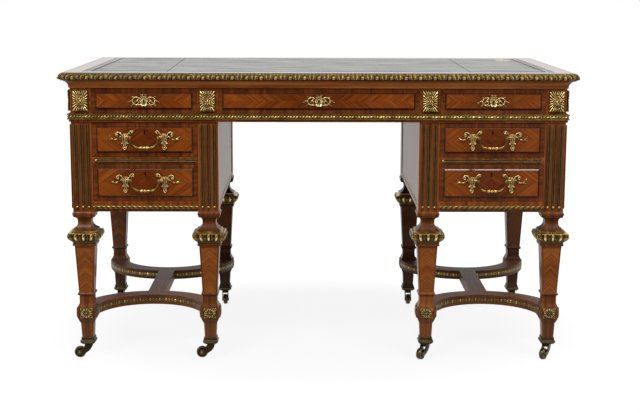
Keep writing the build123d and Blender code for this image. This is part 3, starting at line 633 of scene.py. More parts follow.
# ==== Acanthus tiles ====
# Oblong mounts of cast and gilded brass, one on each free face of the frieze over every leg: two rows of
# lobes spread like rays from a button in a ring of petals. They are pinned through their hollows.
def relief_tile(half_w, half_h, outline, height, columns, rows, back=0.0):
    """Closed tile on polar rings. `outline(a)` is its edge and `height(r, a)` its relief and tone, where a
    is the angle and r runs from 0 at the middle to 1 at the edge, both in units of the half sizes."""
    a = np.linspace(0, 2 * np.pi, columns, endpoint=False)[None]
    r = np.linspace(0, 1, rows)[:, None]
    reach = outline(a)
    relief, tone = height(r, a)
    front = np.stack([r * reach * np.cos(a) * half_w, -relief, r * reach * np.sin(a) * half_h], -1)
    rim = front[-1:].copy()
    rim[..., 1] = back
    middle = np.zeros_like(rim)
    middle[..., 1] = back
    return np.concatenate([front, rim, middle]), np.vstack([tone, tone[-1:] * 0.3, tone[-1:] * 0])


def toothed_oblong(a, corner, depth):
    """Edge of the square of half width 1 at the angle a, its corners cut off at the distance `corner` and
    24 teeth of this depth cut all round it."""
    square = 1 / np.maximum(np.abs(np.cos(a)), np.abs(np.sin(a)))
    return np.minimum(square, corner) * (1 - depth * (1 - np.abs(np.cos(12 * a))))


def acanthus_outline(a):
    """Oblong edged by the tips of the lobes."""
    return toothed_oblong(a, 1.4, 0.10)


def acanthus_height(r, a):
    """Lobes |cos 12a| spread from the middle like rays in two rows, higher towards the corners, and a domed
    button in a ring of petals stands over the middle."""
    rays = np.abs(np.cos(12 * a)) ** 1.2
    crest = 0.5 - 0.5 * np.cos(4 * a)
    rows = np.clip(np.abs(r - 0.56) / 0.14, 0, 1) ** 0.5
    swell = np.clip(np.sin(np.pi * np.clip(r, 0, 1) ** 0.8), 0, 1) ** 0.35
    leaf = swell * rays * (0.5 + 0.5 * rows) * (0.78 + 0.22 * crest)
    wide = r * acanthus_outline(a)
    petals = np.clip(1 - ((wide - 0.24) / 0.12) ** 2, 0, 1) * (0.62 + 0.38 * np.cos(8 * a))
    button = np.sqrt(np.clip(1 - (wide / 0.13) ** 2, 0, 1))
    shape = np.maximum(leaf * np.clip((wide - 0.2) / 0.15, 0, 1), np.maximum(petals * 0.9, button))
    return 0.0006 + 0.0044 * shape, np.clip(shape * 1.45 - 0.04, 0, 1)


tile_low, tile_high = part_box("frieze_rosettes")
tile_middle, tile_half_h = middle_and_half(tile_low.z, tile_high.z)
tile_half_w = 0.0205
joint_places = {joint["name"]: joint["pos_m"] for joint in frame["joints"] if "pos_m" in joint}
axes = [place for joint, place in joint_places.items() if joint.endswith("castor_swivel")]
leg_x = sorted({round(abs(axis[0]), 5) for axis in axes})
leg_y = abs(axes[0][1])
post_faces = []
for side in (-1, 1):
    for fore, spin in ((-1, 0), (1, 180)):
        post_faces += [(side * x, fore * case_y, spin) for x in leg_x]
        post_faces.append((side * case_x, fore * leg_y, 90 * side))

tiles = Casting()
tile, tile_tone = relief_tile(tile_half_w, tile_half_h, acanthus_outline, acanthus_height, 192, 24)
for x, y, spin in post_faces:
    tiles.add(turned_about(tile, spin) + (x, y, tile_middle), tile_tone)
tiles.finish("acanthus_tiles", "desk", "gilt_brass", ormolu, "frieze_rosettes", angle=50)


# ==== Flutes ====
# Brass strips rolled to a hollow and sunk in the posts and in the rail between the drawers, each with a
# bead at its foot. They are dark from age.
aged = gilding("aged_brass", (34, 28, 16), (74, 60, 34), (122, 98, 56), (196, 166, 104), 0.5)
post_low, post_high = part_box("flute_linings")
flute_half = 0.0034
flute_pitch = 0.0157
flute_sunk = 0.003
flute_lip = 0.0006


def flute(half_length):
    """Upright strip sunk behind the plane y = 0: a section with a hollow between two raised edges, 2 mm
    behind the plane at its deepest, carried straight up and closed at its ends."""
    side = np.array([-1, -0.86, -0.72, -0.4, 0, 0.4, 0.72, 0.86, 1.0])
    half = [flute_lip, flute_lip / 3, 0.0009, 0.0017]
    depth = np.array(half + [0.0020] + half[::-1])
    section = np.concatenate([np.stack([side * flute_half, depth], 1),
                              [[flute_half, flute_sunk], [-flute_half, flute_sunk]]])
    tone = np.array([0.5, 0.75, 0.5, 0.22, 0.12, 0.22, 0.5, 0.75, 0.5, 0.1, 0.1])
    heights = np.array([-half_length + 0.0004, half_length - 0.0004])
    body = np.stack([np.broadcast_to(section[:, 0], (2, 11)), np.broadcast_to(section[:, 1], (2, 11)),
                     np.broadcast_to(heights[:, None], (2, 11))], -1)
    tip = body.copy()
    tip[..., 0] *= 0.94
    tip[:, :, 2] += np.array([[-0.0004], [0.0004]])
    ends = tip.mean(1, keepdims=True) + 0 * tip
    grid = np.stack([ends[0], tip[0], body[0], body[1], tip[1], ends[1]])
    return grid, np.broadcast_to(tone, (6, 11))


def bead(radius, flat=0.8):
    """Dome in front of the plane y = 0, its height (1 - r²)^½ over the unit disc, with a skirt behind it."""
    a = np.linspace(0, 2 * np.pi, 14, endpoint=False)[None]
    r = np.array([0, 0.3, 0.6, 0.85, 1.0, 1.0, 0.0])[:, None]
    h = np.array([1, 0.95, 0.8, 0.53, 0.0, -0.6, -0.6])[:, None]
    return np.stack([r * np.cos(a) * radius, -h * radius * flat + 0 * a, r * np.sin(a) * radius], -1)


bead_radius = 0.0029
bead_sunk = 0.0012
bead_place = 0.0052
rail_inset = 0.0035
flute_middle, flute_reach = middle_and_half(post_low.z, post_high.z)
strip, strip_tone = flute(flute_reach)
flutes = Casting()
for x, y, spin in post_faces:
    for place in (-flute_pitch, 0, flute_pitch):
        foot = bead(bead_radius) + (place, bead_sunk, -flute_reach + bead_place)
        flutes.add(turned_about(strip + (place, 0, 0), spin) + (x, y, flute_middle), strip_tone)
        flutes.add(turned_about(foot, spin) + (x, y, flute_middle), 0.95)
bay_x, half_span = middle_and_half(*leg_x)
upper_low, upper_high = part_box("right_upper_drawer_front")
lower_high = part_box("right_lower_drawer_front")[1]
rail_middle = (upper_low.z + lower_high.z) / 2
rail_half = (upper_high.x - upper_low.x) / 2 - rail_inset
lying, lying_tone = flute(rail_half)
lying = lying[..., [2, 1, 0]]
for side in (-1, 1):
    flutes.add(lying + (side * bay_x, -case_y, rail_middle), lying_tone)
    foot = bead(bead_radius) + (-rail_half + bead_place, bead_sunk, 0)
    flutes.add(foot + (side * bay_x, -case_y, rail_middle), 0.95)
flutes.finish("flute_strips", "desk", "gilt_brass", aged, "flute_linings")


# ==== Rope strips ====
# Half-round brass strips cast with a rope twist and rubbed on their crests. They are pinned along the foot
# of each pedestal on all four sides.
rope_low, rope_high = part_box("pedestal_base_strips")
rope_middle, rope_half = middle_and_half(rope_low.z, rope_high.z)
rope_pitch = 0.0138
rope_rise = 0.0030


def capped(grid, onto=(1, 1, 1)):
    """The grid with a row added at each end, drawn to the middle of that end times `onto`."""
    ends = [np.broadcast_to(row.mean(0) * onto, row.shape)[None] for row in (grid[0], grid[-1])]
    return np.concatenate([ends[0], grid, ends[1]])


def capped_tone(tone, fade=1.0):
    """Tones for a capped grid, times `fade` in the two added rows."""
    return np.vstack([tone[:1] * fade, tone, tone[-1:] * fade])


def rope(length):
    """Half round of this length that faces -y. Its height is (sin πt)^0.7, with t from foot to head, times a
    twist that follows |sin π(s / pitch - 0.8 t)|, with s along it: strands lean between narrow grooves."""
    count = int(length / rope_pitch) * 14
    s = np.linspace(-length / 2, length / 2, count)[:, None]
    t = np.linspace(0, 1, 11)[None]
    strand = np.abs(np.sin(np.pi * (s / rope_pitch - 0.8 * t)))
    swell = np.sin(np.pi * t)
    out = swell ** 0.7 * rope_rise * (0.5 + 0.5 * strand ** 0.5)
    front = np.stack([s + 0 * t, -out, (t - 0.5) * 2 * rope_half + 0 * s], -1)
    return capped(front, (1, 0, 0)), capped_tone(np.clip(strand * swell ** 0.5, 0, 1) * 0.56 + 0.14)


ropes = Casting()
panel_recess = 0.002
rope_spare = 0.0015
across_length = (upper_high.x - upper_low.x) + rope_spare
along_length = 2 * (case_y - post_width)
for side in (-1, 1):
    for x, y, spin, length in ((bay_x, -case_y, 0, across_length),
                               (case_x - panel_recess, 0, 90, along_length),
                               (bay_x, case_y - panel_recess, 180, across_length),
                               (leg_x[0] - post_width / 2 + panel_recess, 0, 270, along_length)):
        grid, tone = rope(length)
        grid = turned_about(grid, spin) + (x, y, rope_middle)
        grid[..., 0] *= side
        ropes.add(grid, tone)
ropes.finish("rope_strips", "desk", "gilt_brass", edge_gilt, "pedestal_base_strips", angle=60)


# ==== Legs ====
# Solid beech balusters faced with veneer, tenoned into the posts. The long taper has a herringbone of two
# halves that meet down the middle, inside a dark band along each arris; the rest is straight grained.
def square_ring(count, rounding):
    """Points spaced evenly round the square of half width 1 with rounded corners, from the middle of its
    front and counter-clockwise."""
    a = np.linspace(0, np.pi / 2, 9)
    quarter = np.stack([1 - rounding + rounding * np.sin(a), -(1 - rounding) - rounding * np.cos(a)], 1)
    corner = np.vstack([[0, -1], quarter, [1, 0]])
    path = np.vstack([corner[:-1] @ np.linalg.matrix_power(np.array([[0, 1], [-1, 0]]), k) for k in range(4)]
                     + [corner[:1]])
    run = np.concatenate([[0], np.cumsum(np.hypot(*np.diff(path, axis=0).T))])
    s = np.arange(count) / count * run[-1]
    return np.stack([np.interp(s, run, path[:, 0]), np.interp(s, run, path[:, 1])], 1)


def square_turned(silhouette, count, rounding):
    """The silhouette (half width, height) carried round a square and closed at its head, with the distance
    of each point from the middle line of its face."""
    ring = square_ring(count, rounding)
    half = np.append(silhouette[:, 0], 0)[:, None]
    height = np.append(silhouette[:, 1], silhouette[-1, 1])[:, None]
    grid = np.stack([half * ring[:, 0], half * ring[:, 1], height + 0 * half * ring[:, 0]], -1)
    across = half * np.minimum(np.abs(ring[:, 0]), np.abs(ring[:, 1]))
    return grid, across


collar_low, collar_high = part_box("gadroon_collars")
leg_low, leg_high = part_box("left_legs")
rosette_low, rosette_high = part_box("leg_rosettes")
bulge_middle, flower_half_h = middle_and_half(rosette_low.z, rosette_high.z)
taper_foot = bulge_middle + 0.057
taper_head = collar_low.z - 0.007
taper_foot_half, taper_head_half = 0.0200, 0.0270
socket_half = 0.0046
socket_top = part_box("front_left_outer_castor_fork")[1].z + 0.002
leg_silhouette = [
    (0, socket_top, 0), (socket_half, socket_top, 0), (socket_half, leg_low.z, 0), (0.0145, leg_low.z, 0),
    (0.0175, bulge_middle - 0.028, 0), (0.0185, bulge_middle - 0.028, 0),
    (0.0192, bulge_middle - 0.0265, 0), (0.0192, bulge_middle + 0.0265, 0.0073),
    (0.0190, bulge_middle + 0.028, 0), (0.0190, bulge_middle + 0.048, 0), (0.0200, bulge_middle + 0.048, 0),
    (taper_foot_half, taper_foot, 0.0035), (taper_foot_half, bulge_middle + 0.0575, 0),
    (taper_head_half, taper_head, 0), (0.0310, collar_low.z - 0.0065, 0),
    (0.0310, collar_low.z - 0.0005, 0.0006), (0.0240, collar_low.z, 0), (0.0240, collar_high.z, 0),
    (0.0318, collar_high.z, 0), (0.0180, collar_high.z + 0.016, -0.0022), (0.0180, collar_high.z + 0.024, 0),
    (0.0262, collar_high.z + 0.0350, -0.0024), (0.0285, collar_high.z + 0.0352, 0),
    (0.0285, collar_high.z + 0.0368, 0), (0.0272, collar_high.z + 0.0372, 0),
    (0.0280, leg_high.z - 0.0005, 0.0028), (0.0272, leg_high.z, 0),
]
silhouette = bowed(leg_silhouette, 9)
leg, leg_across = square_turned(silhouette, 96, 0.055)

leg_wood = Finish("leg_veneer")
x, y, z = leg_wood.place()
across = leg_wood.node("Attribute", {"attribute_name": "across"}, output="Fac")
on_taper = (z > taper_foot) * (z < taper_head)
run = (z - taper_foot) / (taper_head - taper_foot)
from_arris = run * (taper_head_half - taper_foot_half) + taper_foot_half - across
inlay_margin, string_half = 0.0035, 0.0005
inlay = on_taper * (from_arris > inlay_margin)
side_sheet = (x > 0) * 1.9 + (y > 0) * 3.1 + (abs(x) > bay_x) * 5.3
along = leg_wood.pick(inlay, z, z * 0.8 - across)
shear = leg_wood.pick(inlay, across, z + across * 0.95)
straight = veneer(leg_wood, z, across, side_sheet, (56, 26, 9), (94, 50, 18), (128, 74, 30))[0]
chevron, figure = veneer(leg_wood, along, shear * 0.6, side_sheet + 1.0, (86, 43, 14), (124, 67, 25),
                         (157, 93, 40))
weave = (shear * 95.0) % 1.0
weave = (abs(weave - 0.5) * 2.0).ramp(0.1, 0.9)
chevron = leg_wood.blend(weave * 0.28, chevron, paint(84, 44, 17))
tip = (run > 0.86) * (z + across * 0.95 > taper_head - 0.006)
chevron = leg_wood.blend(tip * 0.3, chevron, paint(150, 88, 40))
colour = leg_wood.blend(inlay, straight, chevron)
stringing = on_taper * (from_arris > inlay_margin - string_half) * (from_arris < inlay_margin + string_half)
colour = leg_wood.blend(stringing * 0.5, colour, paint(44, 18, 9))
# Painted shade: dark bands in the hollow just over the collar and under the moulding at the head of the neck.
over_collar = z - collar_high.z
neck_shade = (over_collar > 0) * (over_collar < 0.013) + (over_collar > 0.030) * (over_collar < 0.0352)
colour = leg_wood.blend(neck_shade * 0.5, colour, paint(50, 16, 10))
# Painted shade: the rear legs, in the shade under the desk, are darkened.
colour = leg_wood.blend((y > 0) * 0.55, colour, paint(40, 20, 9))
leg_wood.shade(Base_Color=colour, Roughness=figure * 0.2 + 0.3, Specular_IOR_Level=0.1,
               Coat_Weight=0.12, Coat_Roughness=0.1, Normal=leg_wood.bump(figure, 0.0003, 0.4))
for side, name in ((-1, "left"), (1, "right")):
    balusters = Casting()
    for x, y, _ in axes:
        if x * side > 0:
            balusters.add(leg + (x, y, 0), 0.5, across=leg_across)
    balusters.finish(f"{name}_balusters", "desk", "kingwood", leg_wood.material, f"{name}_legs", angle=30)


# ==== Gadrooned collars ====
# Square collars of cast and gilded brass, slid on the legs and pinned: three narrow bosses between flat reeds
# on each face, a leaf over each corner, a brown cove below and a bright fillet above.
collar_half = collar_high.x - leg_x[1]
collar_height = collar_high.z - collar_low.z
reeds = 32


def gadroon_collar():
    """Bulging silhouette carried round a square. With s the run round it in reeds, the even reeds stand out
    as narrow bosses, the odd ones lie flatter between them, and a leaf of five lobes wraps each corner."""
    profile = bowed([(0.0245, 0, 0), (0.0300, 0, 0), (0.0312, 0.0012, 0), (0.0316, 0.0036, 0),
                     (0.0326, 0.0048, 0), (collar_half, 0.56 * collar_height, 0.0024),
                     (0.0345, collar_height - 0.0062, 0.0044), (0.0334, collar_height - 0.0052, 0),
                     (0.0340, collar_height - 0.0046, 0), (0.0340, collar_height - 0.0006, 0),
                     (0.0330, collar_height, 0), (0.0245, collar_height, 0)], 9)
    count = reeds * 10
    ring = square_ring(count, 0.16)
    s = (np.arange(count) / count * reeds)[None]
    t = (profile[:, 1] / collar_height)[:, None]
    body = np.clip((t - 0.13) / 0.1, 0, 1) * np.clip((0.80 - t) / 0.08, 0, 1)
    nearest = np.round(s)
    boss = np.clip(1 - ((s - nearest) / 0.42) ** 2, 0, 1) ** 0.5 * (nearest % 2 == 0)
    reed = np.clip(1 - ((s - nearest) / 0.50) ** 2, 0, 1) ** 0.5 * (nearest % 2 == 1)
    from_corner = s % (reeds / 4) - reeds / 8
    corner = np.clip(1.45 - np.abs(from_corner) * 0.9, 0, 1)
    veins = np.abs(np.cos(np.pi * from_corner * 1.4 + 2.2 * (t - 0.5)))
    leaf = corner * (0.45 + 0.55 * veins) * np.clip(1 - np.abs(t - 0.46) / 0.42, 0, 1) ** 0.4
    shape = np.where(corner > 0.35, leaf, np.maximum(boss, reed * 0.62))
    half = profile[:, :1] - (1 - shape) * 0.0044 * body
    grid = np.stack([half * ring[:, 0], half * ring[:, 1], profile[:, 1:] + 0 * half], -1)
    middle = np.clip(1 - np.abs(t - 0.47) / 0.36, 0, 1) ** 0.5
    shine = np.where(corner > 0.35, leaf * 0.72, np.maximum(boss ** 1.5, reed ** 2 * 0.34)) * middle
    tone = body * np.clip(shine + 0.08, 0, 1) + (1 - body) * np.where(t > 0.78, 0.72, 0.24)
    return grid, tone


collar, collar_tone = gadroon_collar()
collar_gilt = gilding("collar_brass", (40, 30, 14), (88, 69, 33), (142, 115, 62), (244, 218, 160), 0.4)
collars = Casting()
for x, y, _ in axes:
    collars.add(collar + (x, y, collar_low.z), collar_tone, loop=True)
collars.finish("gadroon_rings", "desk", "gilt_brass", collar_gilt, "gadroon_collars", angle=50)


# ==== Leg flowers ====
# Small oblong mounts of cast brass with a wreath of leaves round a button. They are pinned on the round
# block of each leg, on the three faces that no stretcher meets.
flower_half_w = 0.019
block_face = 0.0265
sink = 0.0020


def flower_outline(a):
    """Finely toothed oblong that is drawn in a little between its eight leaves."""
    return toothed_oblong(a, 1.30, 0.06) * (0.90 + 0.10 * np.abs(np.cos(4 * a)) ** 0.6)


def flower_height(r, a):
    """Wreath of small leaves that lean round a ring, tips towards the corners, and a button of petals."""
    wide = r * flower_outline(a)
    ring = np.clip(1 - ((wide - 0.62) / 0.26) ** 2, 0, 1) ** 0.5
    wreath = ring * (0.25 + 0.75 * np.abs(np.cos(6 * a + 5 * r)))
    corners = np.abs(np.sin(2 * a)) ** 1.5 * (0.5 + 0.5 * np.abs(np.cos(12 * a)))
    tips = np.clip((r - 0.72) / 0.1, 0, 1) * np.clip((1.02 - r) / 0.1, 0, 1) * corners
    petals = np.clip(1 - ((wide - 0.22) / 0.13) ** 2, 0, 1) * (0.6 + 0.4 * np.cos(6 * a))
    button = np.sqrt(np.clip(1 - (wide / 0.13) ** 2, 0, 1))
    shape = np.maximum(np.maximum(wreath, tips), np.maximum(petals * 0.8, button * 0.9))
    return 0.0004 + 0.0026 * shape, np.clip(shape ** 1.4 * 0.95, 0, 1)


flower, flower_tone = relief_tile(flower_half_w, flower_half_h, flower_outline, flower_height, 96, 20, 0.0012)
flower[..., 1] += sink * (flower[..., 2] / flower_half_h) ** 2
flowers = Casting()
for x, y, _ in axes:
    for spin in (0, 90, 270):
        moved = turned_about(flower + (0, -block_face, bulge_middle), spin + (180 if y > 0 else 0))
        flowers.add(moved + (x, y, 0), flower_tone)
flowers.finish("leg_flowers", "desk", "gilt_brass", aged, "leg_rosettes", angle=50)


# ==== Foot cups ====
# Square cups of cast brass, dark with age, pinned round the ankles. Each is bored for the stem of its
# castor.
cup_low, cup_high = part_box("foot_collars")
cup_half = cup_high.x - leg_x[1]
cup_height = cup_high.z - cup_low.z
cup_silhouette = bowed([(socket_half, 0, 0), (0.0150, 0, 0), (0.0158, 0.0015, 0),
                        (cup_half - 0.0015, 0.0045, 0.0005), (cup_half, 0.0058, 0),
                        (cup_half, cup_height * 0.5, 0), (cup_half - 0.0010, cup_height * 0.53, 0),
                        (0.0178, cup_height * 0.76, -0.0008), (0.0174, cup_height - 0.0008, 0),
                        (0.0168, cup_height, 0), (socket_half, cup_height, 0)], 6)
cup = square_turned(cup_silhouette, 64, 0.07)[0][:-1]
cup_tone = np.interp(cup_silhouette[:, 0], [0.015, 0.0178, cup_half - 0.001, cup_half],
                     [0.05, 0.1, 0.3, 0.45])[:, None]
cups = Casting()
for x, y, _ in axes:
    cups.add(cup + (x, y, cup_low.z), cup_tone, loop=True)
cups.finish("foot_cups", "desk", "gilt_brass", aged, "foot_collars", angle=35)


# ==== Stretchers ====
# Two sawn bows and a cross bar of beech under each pedestal, let into the legs and veneered. Thin strips of
# gilt brass, chased with leaves, are pinned along both sides of each bow.
bar_reach = 0.133

rail_wood = Finish("stretcher_veneer")
x, y, z = rail_wood.place()
arm = abs(x) - bay_x
on_bar = abs(y) < bar_reach
along = rail_wood.pick(on_bar, arm, y)
across = rail_wood.pick(on_bar, y * 0.5 + z, arm + z * 0.4)
skin, figure = veneer(rail_wood, along, across, on_bar * 2.0 + (x > 0) * 1.0, (60, 29, 12), (98, 53, 23),
                      (126, 76, 36))
# Painted shade: the rear half of each stretcher, under the back of the desk, is darkened.
skin = rail_wood.blend((y > 0) * 0.5, skin, paint(38, 22, 12))
rail_wood.shade(Base_Color=skin, Roughness=figure * 0.1 + 0.42, Specular_IOR_Level=0.16,
                Normal=rail_wood.bump(figure, 0.0002, 0.4))
for name in ("left_stretcher", "right_stretcher"):
    nodes[name].data.materials[0] = rail_wood.material

strip_low, strip_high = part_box("stretcher_strips")
strip_middle, strip_half = middle_and_half(strip_low.z, strip_high.z)
bow_centre_y = -leg_y - 0.014
bow_end_y = -leg_y + block_face
middle_radius = math.hypot(half_span, bow_end_y - bow_centre_y)
bow_half = 0.025
bar_half = 0.024
strip_seat = 0.0015
strip_gap = 0.0003
leaf_pitch = 0.0092


def leaf_strip(radius, start, stop, hollow):
    """Strip along an arc between two angles from +y; `hollow` ones face the arc's centre. In each repeat two
    ellipses lean away from the middle line as leaves, and a dot stands where repeats meet."""
    count = int(abs(stop - start) * radius / 0.0011)
    a = np.linspace(start, stop, count)[:, None]
    t = np.linspace(0, 1, 9)[None]
    s = a * radius / leaf_pitch
    p = s % 1.0 - 0.5
    up = np.abs(t - 0.5)
    size = 0.75 + 0.25 * np.sin(np.floor(s) * 2.4)
    leaf = lobe((p - 0.7 * (up - 0.2)) / 0.26, (up - 0.22) / 0.20) * size
    dot = lobe((np.abs(p) - 0.5) / 0.10, (t - 0.5) / 0.14) * 0.9
    relief = np.maximum(leaf, dot)
    out = 0.0004 + 0.0011 * relief * np.sin(np.pi * t) ** 0.5
    r = radius - out if hollow else radius + out
    r = np.hstack([r, np.full((count, 2), radius)])
    level = np.hstack([(t - 0.5) * 2 * strip_half, [[strip_half, -strip_half]]])
    grid = np.stack([r * np.sin(a), bow_centre_y + r * np.cos(a), level + 0 * a], -1)
    tone = np.hstack([0.22 + np.clip(relief, 0, 1) * (0.55 + 0.35 * t), np.zeros((count, 2))])
    return capped(grid), capped_tone(tone)


strips = Casting()
inner_radius, outer_radius = middle_radius - bow_half, middle_radius + bow_half
for radius, hollow in ((inner_radius, True), (outer_radius, False)):
    rim = radius - strip_seat if hollow else radius + strip_seat
    reach = math.acos((bow_end_y - bow_centre_y) / rim)
    gap = 0 if hollow else math.asin((bar_half + strip_gap) / rim)
    runs = [(-reach, reach)] if hollow else [(-reach, -gap), (gap, reach)]
    for start, stop in runs:
        grid, tone = leaf_strip(radius, start, stop, hollow)
        for side in (-1, 1):
            for fore in (1, -1):
                moved = grid * (1, fore, 1) + (side * bay_x, 0, strip_middle)
                strips.add(moved, tone)
strips.finish("leaf_strips", "desk", "gilt_brass", collar_gilt, "stretcher_strips", angle=60)


# ==== Escutcheons and locks ====
# Pierced cast escutcheons pinned on the three frieze drawers: a shield round the keyhole, a C-scroll on
# each side and leaves that run out to thin tips. A brass lock is let into the back of every drawer front.
def spline(points, count):
    """Smooth line through the points, sampled evenly from one to the next (Catmull-Rom)."""
    p = np.array(points, float)
    p = np.vstack([2 * p[0] - p[1], p, 2 * p[-1] - p[-2]])
    t = np.linspace(0, len(points) - 1, count)
    k = np.minimum(t.astype(int), len(points) - 2)
    f = (t - k)[:, None]
    a, b, c, d = p[k], p[k + 1], p[k + 2], p[k + 3]
    return 0.5 * (2 * b + (c - a) * f + (2 * a - 5 * b + 4 * c - d) * f ** 2
                  + (3 * b - a - 3 * c + d) * f ** 3)


def beside(line, offset):
    """Places (x, z) at `offset` to the left of each point of the line, square to its course."""
    course = np.gradient(line[:, :2], axis=0)
    course /= np.hypot(course[:, :1], course[:, 1:])
    return line[:, :1] - course[:, 1:] * offset, line[:, 1:2] + course[:, :1] * offset


def rib(points, count=28, lobes=0, sharp=0.7):
    """Scroll or leaf on the plane y = 0, in mm: each point is (x, z, half width, height). Its section is
    half width · cos a by height · (sin a)^sharp; `lobes` notches both edges and sinks a vein and ribs."""
    line = spline(points, count) / 1000
    a = np.linspace(0, np.pi, 11 if lobes else 9)[None]
    v = np.linspace(0, 1, count)[:, None]
    side = np.cos(a)
    crest = np.clip(np.sin(a), 0, 1) ** sharp
    width = np.clip(line[:, 2:3] * 0.92, 0.0001, None)
    tone = crest ** 1.6 * 0.92 + 0.02
    if lobes:
        notch = np.abs(np.sin(np.pi * lobes * v))
        width = width * (0.74 + 0.26 * notch)
        vein = 1 - 0.5 * np.exp(-(side / 0.22) ** 2)
        ribs = 0.72 + 0.28 * np.abs(np.sin(np.pi * lobes * (v + 0.1 * np.abs(side))))
        crest = crest * vein * ribs
        tone = crest ** 1.3
    x, z = beside(line, width * side)
    grid = np.stack([x, -line[:, 3:4] * crest + 0 * x, z], -1)
    return capped(grid, (1, 0, 1)), capped_tone(np.broadcast_to(tone, x.shape), 0.5)


def box_shell(x0, x1, y0, y1, z0, z1):
    """Closed box: a square with rounded corners, stretched to its front and carried back along y, with a
    small bevel round both ends."""
    ring = square_ring(32, 0.12)
    middle_x, half_x = middle_and_half(x0, x1)
    middle_z, half_z = middle_and_half(z0, z1)
    slices = ((0, y0), (0.985, y0), (1, y0 + 0.0004), (1, y1 - 0.0004), (0.985, y1), (0, y1))
    grid = np.stack([np.concatenate([ring * (half_x, half_z) * size, np.full((32, 1), y)], 1)
                     for size, y in slices])
    return grid[..., [0, 2, 1]] + (middle_x, 0, middle_z)


keyhole_round = 0.0023
keyhole_foot = 0.0078


def keyhole_edge(a):
    """Keyhole as a distance from its round at the angle a: a circle with a slot below."""
    slot = 0.00105 / np.maximum(np.abs(np.cos(a)), 1e-6)
    below = np.minimum(slot, keyhole_foot / np.maximum(-np.sin(a), 1e-6))
    return np.where(np.sin(a) < 0, np.maximum(keyhole_round, below), keyhole_round)


def shield():
    """Plate round the keyhole on polar rows from the hole's edge out to a lobed edge: a bead at the hole, a
    dished field and a raised rim, with a flat back."""
    a = np.linspace(0, 2 * np.pi, 120, endpoint=False)[None]
    edge = 0.0098 + 0.0052 * np.abs(np.sin(a)) ** 2.2 + 0.0013 * np.cos(6 * a) + 0.0008 * np.cos(10 * a)
    hole = keyhole_edge(a)
    rows = [(0, 0.0016, 0.1), (0.06, 0.0027, 0.9), (0.16, 0.0027, 0.95), (0.3, 0.0020, 0.8),
            (0.5, 0.0017, 0.75), (0.68, 0.0022, 0.8), (0.80, 0.0034, 0.95), (0.88, 0.0036, 1.0),
            (0.95, 0.0026, 0.7), (1, 0.0008, 0.1)]
    r, h, tone = np.array(rows).T[..., None]
    fan = 1 + 0.16 * np.cos(12 * a) * np.clip((r - 0.5) / 0.3, 0, 1)
    reach = hole + (edge - hole) * r
    front = np.stack([reach * np.cos(a), -h * fan, reach * np.sin(a)], -1)
    both = np.concatenate([edge, hole])
    back = np.stack([both * np.cos(a), 0 * both, both * np.sin(a)], -1)
    tones = np.clip(tone * np.clip(fan, 0.8, 1.1), 0, 1)
    return np.concatenate([front, back]), np.vstack([tones, tones[:2] * 0])


lock_half = 0.023
lock_drop = 0.017
lock_mortise = 0.005
lock_stand = 0.004
keyhole_below_field = 0.012
screw_x, screw_drop = 0.019, 0.013


def lock(front_low, front_high, key_z):
    """Lock case in its mortise behind the keyhole, with four screws in its back."""
    middle = middle_and_half(front_low.x, front_high.x)[0]
    case = box_shell(middle - lock_half, middle + lock_half, front_high.y - lock_mortise,
                     front_high.y + lock_stand, key_z - lock_drop, front_high.z)
    screws = [turned_about(bead(0.0022, 0.5), 180) + (middle + dx, front_high.y + lock_stand, key_z + dz)
              for dx in (-screw_x, screw_x) for dz in (-screw_drop, 0)]
    return [case] + screws


scrolls = [
    # upper C-scroll from the shield round the eye
    [(8.5, 3.0, 1.6, 2.2), (12.5, 8.0, 1.9, 2.8), (19.5, 10.0, 2.0, 3.0), (27.0, 6.5, 2.0, 3.0),
     (29.6, -0.5, 1.9, 2.9), (26.5, -7.5, 1.8, 2.7), (20.0, -9.8, 1.7, 2.6), (14.5, -6.8, 1.6, 2.4),
     (14.0, -2.0, 1.5, 2.6), (17.2, 0.6, 1.7, 3.2)],
    # cross strap inside the scroll
    [(13.0, 6.0, 1.0, 1.6), (18.5, 1.5, 1.3, 2.4), (23.5, -4.5, 1.1, 1.9), (26.5, -8.0, 0.8, 1.2)],
    # strap from the lower side of the shield
    [(7.0, -8.5, 1.3, 1.8), (11.0, -10.5, 1.5, 2.2), (16.0, -11.0, 1.2, 1.8), (21.5, -12.8, 0.6, 0.9)],
]
leaves = [
    # two beyond the eye, one below it, and one on each shoulder of the shield
    [(27.0, 4.5, 1.4, 2.0), (32.0, 1.0, 2.5, 2.4), (37.5, -2.2, 2.1, 1.9), (43.8, -3.2, 0.3, 0.6)],
    [(24.0, 8.4, 1.2, 1.6), (28.0, 10.6, 1.5, 1.8), (32.5, 12.6, 0.3, 0.6)],
    [(26.0, -7.4, 1.2, 1.6), (30.0, -10.6, 1.6, 1.8), (34.5, -14.2, 0.3, 0.6)],
    [(2.0, 14.0, 2.0, 2.2), (4.8, 16.0, 1.8, 2.0), (8.5, 15.0, 0.4, 0.8)],
]
eyes = [
    # radius, place beside, before and above the middle of the keyhole, and tone
    (0.0023, 0.0176, 0.0008, 0.0010, 0.95),
    (0.0014, 0.0292, 0.0018, 0.0004, 0.9),
]

for name in drawers[:3]:
    front_low, front_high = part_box(f"{name}_drawer_front")
    middle_x = middle_and_half(front_low.x, front_high.x)[0]
    middle_z = middle_and_half(front_low.z, front_high.z)[0]
    mount = Casting()
    at = np.array([middle_x, front_low.y, middle_z])
    grid, tone = shield()
    mount.add(grid + at, tone, loop=True)
    for side in (-1, 1):
        for line, count, lobes in [(line, 36, 0) for line in scrolls] + [(line, 22, 3) for line in leaves]:
            grid, tone = rib(line, count, lobes)
            mount.add(grid * (side, 1, 1) + at, tone)
        for radius, out, before, above, tone in eyes:
            mount.add(bead(radius, 1.2) + at + (side * out, -before, above), tone)
    for grid in lock(front_low, front_high, middle_z):
        mount.add(grid, 0.3)
    mount.finish(f"{name}_escutcheon_and_lock", f"{name}_drawer", "gilt_brass", ormolu,
                 f"{name}_drawer_mounts", angle=45)


